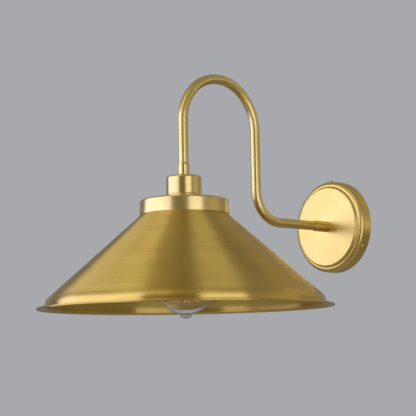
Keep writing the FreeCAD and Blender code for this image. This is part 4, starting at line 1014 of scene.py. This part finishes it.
@dataclass
class Bulb:
    """Clear squirrel-cage bulb with a rolled screw cap."""

    body: str = "bulb"
    sphere_radius: float = 31.6
    sphere_centre: float = -89.85
    neck_radius: float = 11.9
    neck_end: float = -7.95
    neck_top: float = 9.05
    neck_rounding: float = 9.0
    glass: float = 0.6
    flattened: float = 0.925
    tip_radius: float = 8.4
    tip_end: float = -123.25
    # Shares of the tip's radius and of its depth, from the ball down
    tip_line: Profile = ((0.90, 0.10), (0.85, 0.24), (0.82, 0.40), (0.76, 0.58), (0.64, 0.75), (0.46, 0.89),
                         (0.24, 0.98), (0.0, 1.0))
    cap_bottom: float = -6.95
    cap_crest: float = 13.05
    cap_root: float = 12.35
    cap_sheet: float = 0.35
    cap_thread: tuple[float, float] = (-2.25, 14.45)
    cap_turns: int = 6
    cap_rim: float = 0.3
    cap_flare: float = 0.12
    # Plain stretches below and above the thread
    run_outs: tuple[float, float] = (0.9, 0.7)
    cap_cone: Profile = ((12.23, 16.05), (11.4, 16.95), (10.4, 17.65))
    pitch: float = 3.63
    flare_gap: float = 0.05
    flare_rim: float = 0.8
    flare_sheet: float = 0.9
    stem_bore: Profile = ((0.0, -23.0), (2.6, -22.6), (4.4, -21.0), (4.8, -19.0), (4.8, 1.6), (5.3, 3.0),
                          (6.5, 4.6), (8.8, 6.6))
    stem_tube: Profile = ((9.4, 6.0), (7.2, 4.2), (6.0, 2.9), (5.6, 1.2), (5.6, -12.0), (5.6, -22.0),
                          (5.5, -24.4))
    # Radius and height of each ring of the press, and how flat and how wide it is pinched
    press: tuple[tuple[float, float, float, float], ...] = (
        (5.0, -25.95, 0.86, 1.0), (4.6, -28.0, 0.60, 1.12), (4.0, -31.0, 0.52, 1.22),
        (3.0, -33.6, 0.62, 1.25),
    )
    press_end: tuple[float, float] = (1.7, -34.95)
    # Points this near a ring's height belong to it
    press_reach: float = 0.05
    # Radius of the rod's beads and the height over their ring
    rod_bead: Profile = ((1.3, 2.2), (1.5, 1.6), (2.05, 0.9), (2.2, 0.0), (2.05, -0.9), (1.4, -1.4))
    rod_end: tuple[float, float] = (0.7, -1.5)
    top_ring: tuple[float, float] = (8.0, -50.0)
    bottom_ring: tuple[float, float] = (15.0, -103.0)
    bends: tuple[float, float] = (0.8, 1.5)
    # Shares of a bend's half width, along the ring and back from the bend's crest
    bend_line: Profile = ((-1.0, -0.9), (-0.82, -0.25), (-0.38, 0.0), (0.38, 0.0), (0.82, -0.25), (1.0, -0.9))
    bend_flat: float = 0.38
    loops: int = 7
    gap_angle: float = 24.0
    wire_radius: float = 0.28
    hook_radius: float = 0.22
    hook_gap: float = 0.06
    hook_start: float = 1.9
    # Shares of the eye's size, inwards and in height, and the degrees through which the eye curls
    hook_neck: Profile = ((2.2, 0.0), (1.3, -0.35))
    eye_turns: tuple[float, ...] = (215.0, 250.0, 290.0, 330.0, 10.0, 50.0, 90.0)

    def build(self) -> None:
        """Makes the glass, the cap, the stem, the filament and its hooks."""
        self.envelope()
        self.screw_cap()
        self.stem()
        self.cage()
        self.hooks()

    def envelope(self) -> None:
        """Blows the glass: a long neck that widens into a ball, with its sealed tip."""
        rise = self.neck_end - self.sphere_centre
        reach = math.hypot(rise, self.neck_radius)
        lean = math.atan2(rise, self.neck_radius) - math.acos(self.sphere_radius / reach)
        ball_top = math.degrees(lean)
        cut = self.neck_rounding * math.tan(lean / 2.0)
        centre = (self.neck_radius + self.neck_rounding, self.neck_end + cut)
        bend = arc(centre, self.neck_rounding, 180.0, 180.0 + ball_top, steps=6)
        edge = -math.degrees(math.acos(self.tip_radius / self.sphere_radius))
        sphere = arc((0.0, self.sphere_centre), self.sphere_radius, ball_top, edge, steps=36)
        ball = [(radius, self.ball_height(height)) for radius, height in sphere]
        low = ball[-1][1]
        depth = low - self.tip_end
        pip = [(self.tip_radius * radius, low - depth * down) for radius, down in self.tip_line]
        work = Workpiece("bulb_envelope")
        work.spin([(self.neck_radius, self.neck_top)] + bend + ball + pip)
        work.done(self.body, "clear_glass", "bulb_glass", wall=self.glass, angle=60.0)

    def ball_height(self, height: float) -> float:
        """Height of a point of the ball, whose lower half is a little flattened."""
        share = self.flattened if height < self.sphere_centre else 1.0
        return self.sphere_centre + (height - self.sphere_centre) * share

    def screw_cap(self) -> None:
        """Rolls the screw cap, with a plain rim below and a cone above."""
        root = self.cap_root
        low, high = self.cap_thread
        work = Workpiece("bulb_screw_cap")
        outline = thread(root, self.cap_crest, self.pitch, high + THREAD_OVERRUN)
        work.screw(outline, self.cap_turns, low, high)
        work.draw_out(low, [
            (root, low - self.run_outs[0]), (root, self.cap_bottom + self.cap_rim),
            (root + self.cap_flare, self.cap_bottom),
        ])
        work.draw_out(high, [(root, high + self.run_outs[1]), *self.cap_cone])
        work.clean()
        work.done(self.body, "cap_brass", "bulb_cap", wall=self.cap_sheet)

    def stem(self) -> None:
        """Draws the flare and its tube, pinches the press flat, and ends in the rod with its two beads."""
        flare = self.neck_radius - self.glass - self.flare_gap
        outline = [(flare, self.neck_top), (flare, self.neck_top - self.flare_rim), *self.stem_tube]
        outline += [(radius, height) for radius, height, _, _ in self.press] + [self.press_end]
        for _, level in (self.top_ring, self.bottom_ring):
            outline += [(radius, level + rise) for radius, rise in self.rod_bead]
        end_radius, end_rise = self.rod_end
        outline += [(end_radius, self.bottom_ring[1] + end_rise), (0.0, self.bottom_ring[1] + end_rise)]
        inner = [*self.stem_bore, (flare - self.flare_sheet, self.neck_top)]
        work = Workpiece("glass_stem")
        work.spin(inner + outline, steps=48)
        for _, height, flat, wide in self.press:
            self.pinch(work, height, flat, wide)
        work.done(self.body, "clear_glass", "bulb_stem", angle=60.0)

    def pinch(self, work: Workpiece, height: float, flat: float, wide: float) -> None:
        """Pinches the ring of points at a height.

        Args:
            work: The piece.
            height: The height of the ring.
            flat: What is left of its depth, as a share.
            wide: What its width grows to, as a share.
        """
        bpy.ops.object.mode_set(mode="OBJECT")
        mesh = work.piece.data
        for item in list(mesh.polygons) + list(mesh.edges):
            item.select = False
        for vertex in mesh.vertices:
            vertex.select = abs(vertex.co.z - height * MM) < self.press_reach * MM
        bpy.ops.object.mode_set(mode="EDIT")
        bpy.context.tool_settings.mesh_select_mode = (True, False, False)
        bpy.ops.transform.resize(value=(wide, flat, 1.0), center_override=work.point(0.0, height))

    def bends_round(self) -> list[tuple[float, tuple[float, float], float]]:
        """Places the turning points of the filament, from end to end.

        Returns:
            The angle, the ring and the half width of each.
        """
        sweep = math.radians(360.0 - self.gap_angle)
        first = math.radians(90.0 + self.gap_angle / 2.0)
        found = []
        for index in range(2 * self.loops + 1):
            low = index % 2 == 1
            ring = self.bottom_ring if low else self.top_ring
            found.append((first + sweep * index / (2 * self.loops), ring, self.bends[int(low)]))
        return found

    def cage(self) -> None:
        """Bends one wire down and up between its two rings of hooks."""
        stops = self.bends_round()
        path = [Workpiece.point(*stops[0][1], stops[0][0])]
        for index, (angle, (ring, height), bend) in enumerate(stops[1:-1]):
            half = bend / ring
            outwards = 1.0 if index % 2 else -1.0
            for share, rise in self.bend_line:
                path.append(Workpiece.point(ring, height + rise * bend * outwards, angle + share * half))
        path.append(Workpiece.point(*stops[-1][1], stops[-1][0]))
        work = Workpiece("filament_cage")
        work.line(path)
        work.wire(self.wire_radius)
        work.done(self.body, "filament_glow", "filament", angle=80.0)

    def hooks(self) -> None:
        """Makes the hooks, each with its eye curled round a bend of the filament."""
        work = Workpiece("filament_hooks")
        for index, (angle, (ring, height), bend) in enumerate(self.bends_round()[1:-1]):
            eye = ring * math.cos(bend / ring * self.bend_flat)
            gap = self.wire_radius + self.hook_radius + self.hook_gap
            side = 1.0 if index % 2 else -1.0
            path = [(self.hook_start, 0.0)]
            path += [(eye - gap * back, gap * rise) for back, rise in self.hook_neck]
            turns = [math.radians(degrees) for degrees in self.eye_turns]
            path += [(eye + gap * math.cos(turn), gap * math.sin(turn)) for turn in turns]
            work.line([work.point(radius, height + rise * side, angle) for radius, rise in path])
        work.wire(self.hook_radius, sides=2)
        work.done(self.body, "support_wire", "filament_supports", angle=80.0)


@dataclass
class Arm:
    """Gooseneck tube: out from the rose, up, over a half circle and down."""

    body: str = "fitting"
    radius: float = 6.0
    wall: float = 1.0
    start: float = -29.3
    rising_leg: float = -146.0
    falling_leg: float = -263.0
    crown: float = 172.3
    end: float = 53.0
    elbow: float = 39.0
    half_flat: float = 0.6

    def build(self) -> None:
        """Bends the tube and bores it, with a short straight stretch at the top of its arch."""
        arch = (self.rising_leg - self.falling_leg) / 2.0 - self.half_flat
        line = rounded([
            (self.start, 0.0, 0.0), (self.rising_leg, 0.0, self.elbow), (self.rising_leg, self.crown, arch),
            (self.falling_leg, self.crown, arch), (self.falling_leg, self.end, 0.0),
        ], steps=40)
        work = Workpiece("gooseneck_tube")
        work.line([Vector((0.0, depth * MM, height * MM)) for depth, height in line])
        work.wire(self.radius, sides=22, closed=False)
        work.done(self.body, "satin_brass", "arm_tube", wall=self.wall)


@dataclass
class Rose:
    """Pressed wall rose: a raised face with a soft edge, a fine groove and a rounded ledge."""

    body: str = "fitting"
    sheet: float = 1.2
    hole: float = 5.05
    depth: float = 22.3
    face: float = 52.6
    face_rounding: float = 2.8
    groove: float = 53.4
    ledge: float = 19.0
    groove_rounding: float = 0.3
    radius: float = 60.0
    shoulder_top: float = 18.4
    shoulder: float = 5.5
    wall_gap: float = 1.0

    def build(self) -> None:
        """Spins the cover round its level axis."""
        corners = [
            (self.hole, self.depth, 0.0), (self.face, self.depth, self.face_rounding),
            (self.groove, self.ledge, self.groove_rounding), (self.radius, self.shoulder_top, self.shoulder),
            (self.radius, self.wall_gap, 0.0),
        ]
        outer, inner = rounded(corners), rounded(inner_side(corners, self.sheet))
        outline = outer + inner[::-1] + outer[:1]
        work = Workpiece("turned_rose")
        work.line([Vector((radius * MM, -height * MM, 0.0)) for radius, height in outline])
        bpy.ops.mesh.select_all(action="SELECT")
        bpy.ops.mesh.spin(steps=192, angle=FULL_TURN, center=(0.0, 0.0, 0.0), axis=(0.0, 1.0, 0.0))
        work.clean()
        work.done(self.body, "satin_brass", "wall_rose")


@dataclass
class Shade:
    """Spun cone shade with a neck, a rounded shoulder and a beaded brim."""

    body: str = "fitting"
    sheet: float = 0.9
    neck_radius: float = 51.25
    neck_top: float = 9.0
    seat_radius: float = 52.4
    seat: float = -1.0
    wall_radius: float = 165.0
    cone_end: float = -101.2
    brim_top: float = -109.8
    shoulder: float = 12.0
    brim_rounding: float = 2.0
    bead_path: float = 173.85
    bead: float = 1.15

    def build(self) -> None:
        """Spins the shade from its neck to its bead and back along its inner side."""
        corners = [
            (self.neck_radius, self.neck_top, 0.0), (self.neck_radius, self.seat, 0.0),
            (self.seat_radius, self.seat, 0.0), (self.wall_radius, self.cone_end, self.shoulder),
            (self.wall_radius, self.brim_top, self.brim_rounding), (self.bead_path, self.brim_top, 0.0),
        ]
        centre = (self.bead_path, self.brim_top - self.sheet / 2.0)
        meet = math.degrees(math.asin(self.sheet / 2.0 / self.bead))
        outer = rounded(corners)[:-1]
        inner = rounded(inner_side(corners, self.sheet))[:-1]
        bead = arc(centre, self.bead, 180.0 - meet, meet - 180.0, steps=20)
        work = Workpiece("spun_shade")
        work.spin(outer + bead + inner[::-1] + outer[:1], steps=288)
        work.done(self.body, "brushed_brass", "shade")


@dataclass
class Lampholder:
    """Threaded parts of the lampholder that show from below."""

    body: str = "fitting"
    skirt_crest: float = 19.8
    skirt_root: float = 19.3
    skirt_pitch: float = 2.0
    skirt_thread: tuple[float, float] = (-11.0, 16.2)
    skirt_turns: int = 16
    skirt_foot: Profile = ((19.3, -11.4), (19.05, -11.9), (18.9, -12.0), (18.25, -12.0), (18.0, -11.75))
    spigot: Profile = ((18.0, 18.7), (18.9, 18.7), (18.9, 28.3), (19.1, 28.5), (19.9, 28.5), (20.1, 28.3),
                       (20.1, 23.5))
    lip: Profile = ((20.9, 23.5), (21.18, 23.42), (21.3, 23.15), (21.3, 17.6), (21.18, 17.3), (20.9, 17.2),
                    (19.3, 17.2))
    shell_root: float = 13.25
    shell_crest: float = 13.95
    shell_pitch: float = 3.63
    shell_thread: tuple[float, float] = (-3.6, 18.6)
    shell_turns: int = 8
    shell_rim: Profile = ((13.35, -4.5), (13.9, -4.8), (13.95, -5.0))
    shell_lip: Profile = ((13.25, 19.5), (13.15, 20.4), (12.8, 20.75), (11.95, 20.8))
    shell_sheet: float = 0.4

    def build(self) -> None:
        """Makes the skirt and the lamp's shell."""
        self.skirt()
        self.shell()

    def skirt(self) -> None:
        """Turns the skirt: a lip and a spigot above, a bore inside and a fine thread outside."""
        work = Workpiece("threaded_skirt")
        low, high = self.skirt_thread
        outline = thread(self.skirt_root, self.skirt_crest, self.skirt_pitch, high + THREAD_OVERRUN, steps=8)
        work.screw(outline, self.skirt_turns, low, high, steps=64)
        work.draw_out(low, [*self.skirt_foot, *self.spigot, *self.lip])
        work.join_rims((self.lip[-1][1], high))
        work.clean()
        work.done(self.body, "satin_brass", "holder_skirt")

    def shell(self) -> None:
        """Rolls the shell that the bulb screws into, with its lip above and its plain rim below."""
        work = Workpiece("lamp_screw_shell")
        low, high = self.shell_thread
        outline = thread(self.shell_root, self.shell_crest, self.shell_pitch, high + THREAD_OVERRUN)
        work.screw(outline, self.shell_turns, low, high)
        work.draw_out(low, self.shell_rim)
        work.draw_out(high, self.shell_lip)
        work.clean()
        work.done(self.body, "terminal_brass", "holder_screw_shell", wall=-self.shell_sheet)


# The nodes that finer pieces stand for
STOOD_FOR = {
    "wall_rose", "arm_tube", "shade", "bulb_glass", "bulb_cap", "bulb_stem", "filament", "filament_supports",
    "holder_skirt", "holder_screw_shell",
}


class Frame:
    """The pieces that keep their own meshes and get their finishes here."""

    def dress(self) -> None:
        """Gives every piece of the frame the finish of its own name or of its slot."""
        made: dict[str, bpy.types.Material] = {}
        for part in frame["record"]["subparts"]:
            node, slot = part["node"], part["material_slot"]
            if node in STOOD_FOR:
                continue
            key = node if node in FINISHES else slot
            if key not in made:
                made[key] = FINISHES[key].material(key)
            mesh = frame["nodes"][node].data
            mesh.materials.clear()
            mesh.materials.append(made[key])
            LOG.info("%s: %s", node, key)


def main() -> None:
    """Builds the studio and the sconce."""
    logging.basicConfig(level=logging.INFO)
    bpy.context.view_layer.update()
    Studio().build()
    Frame().dress()
    Rose().build()
    Arm().build()
    Shade().build()
    Lampholder().build()
    Bulb().build()


if __name__ == "__main__":
    main()
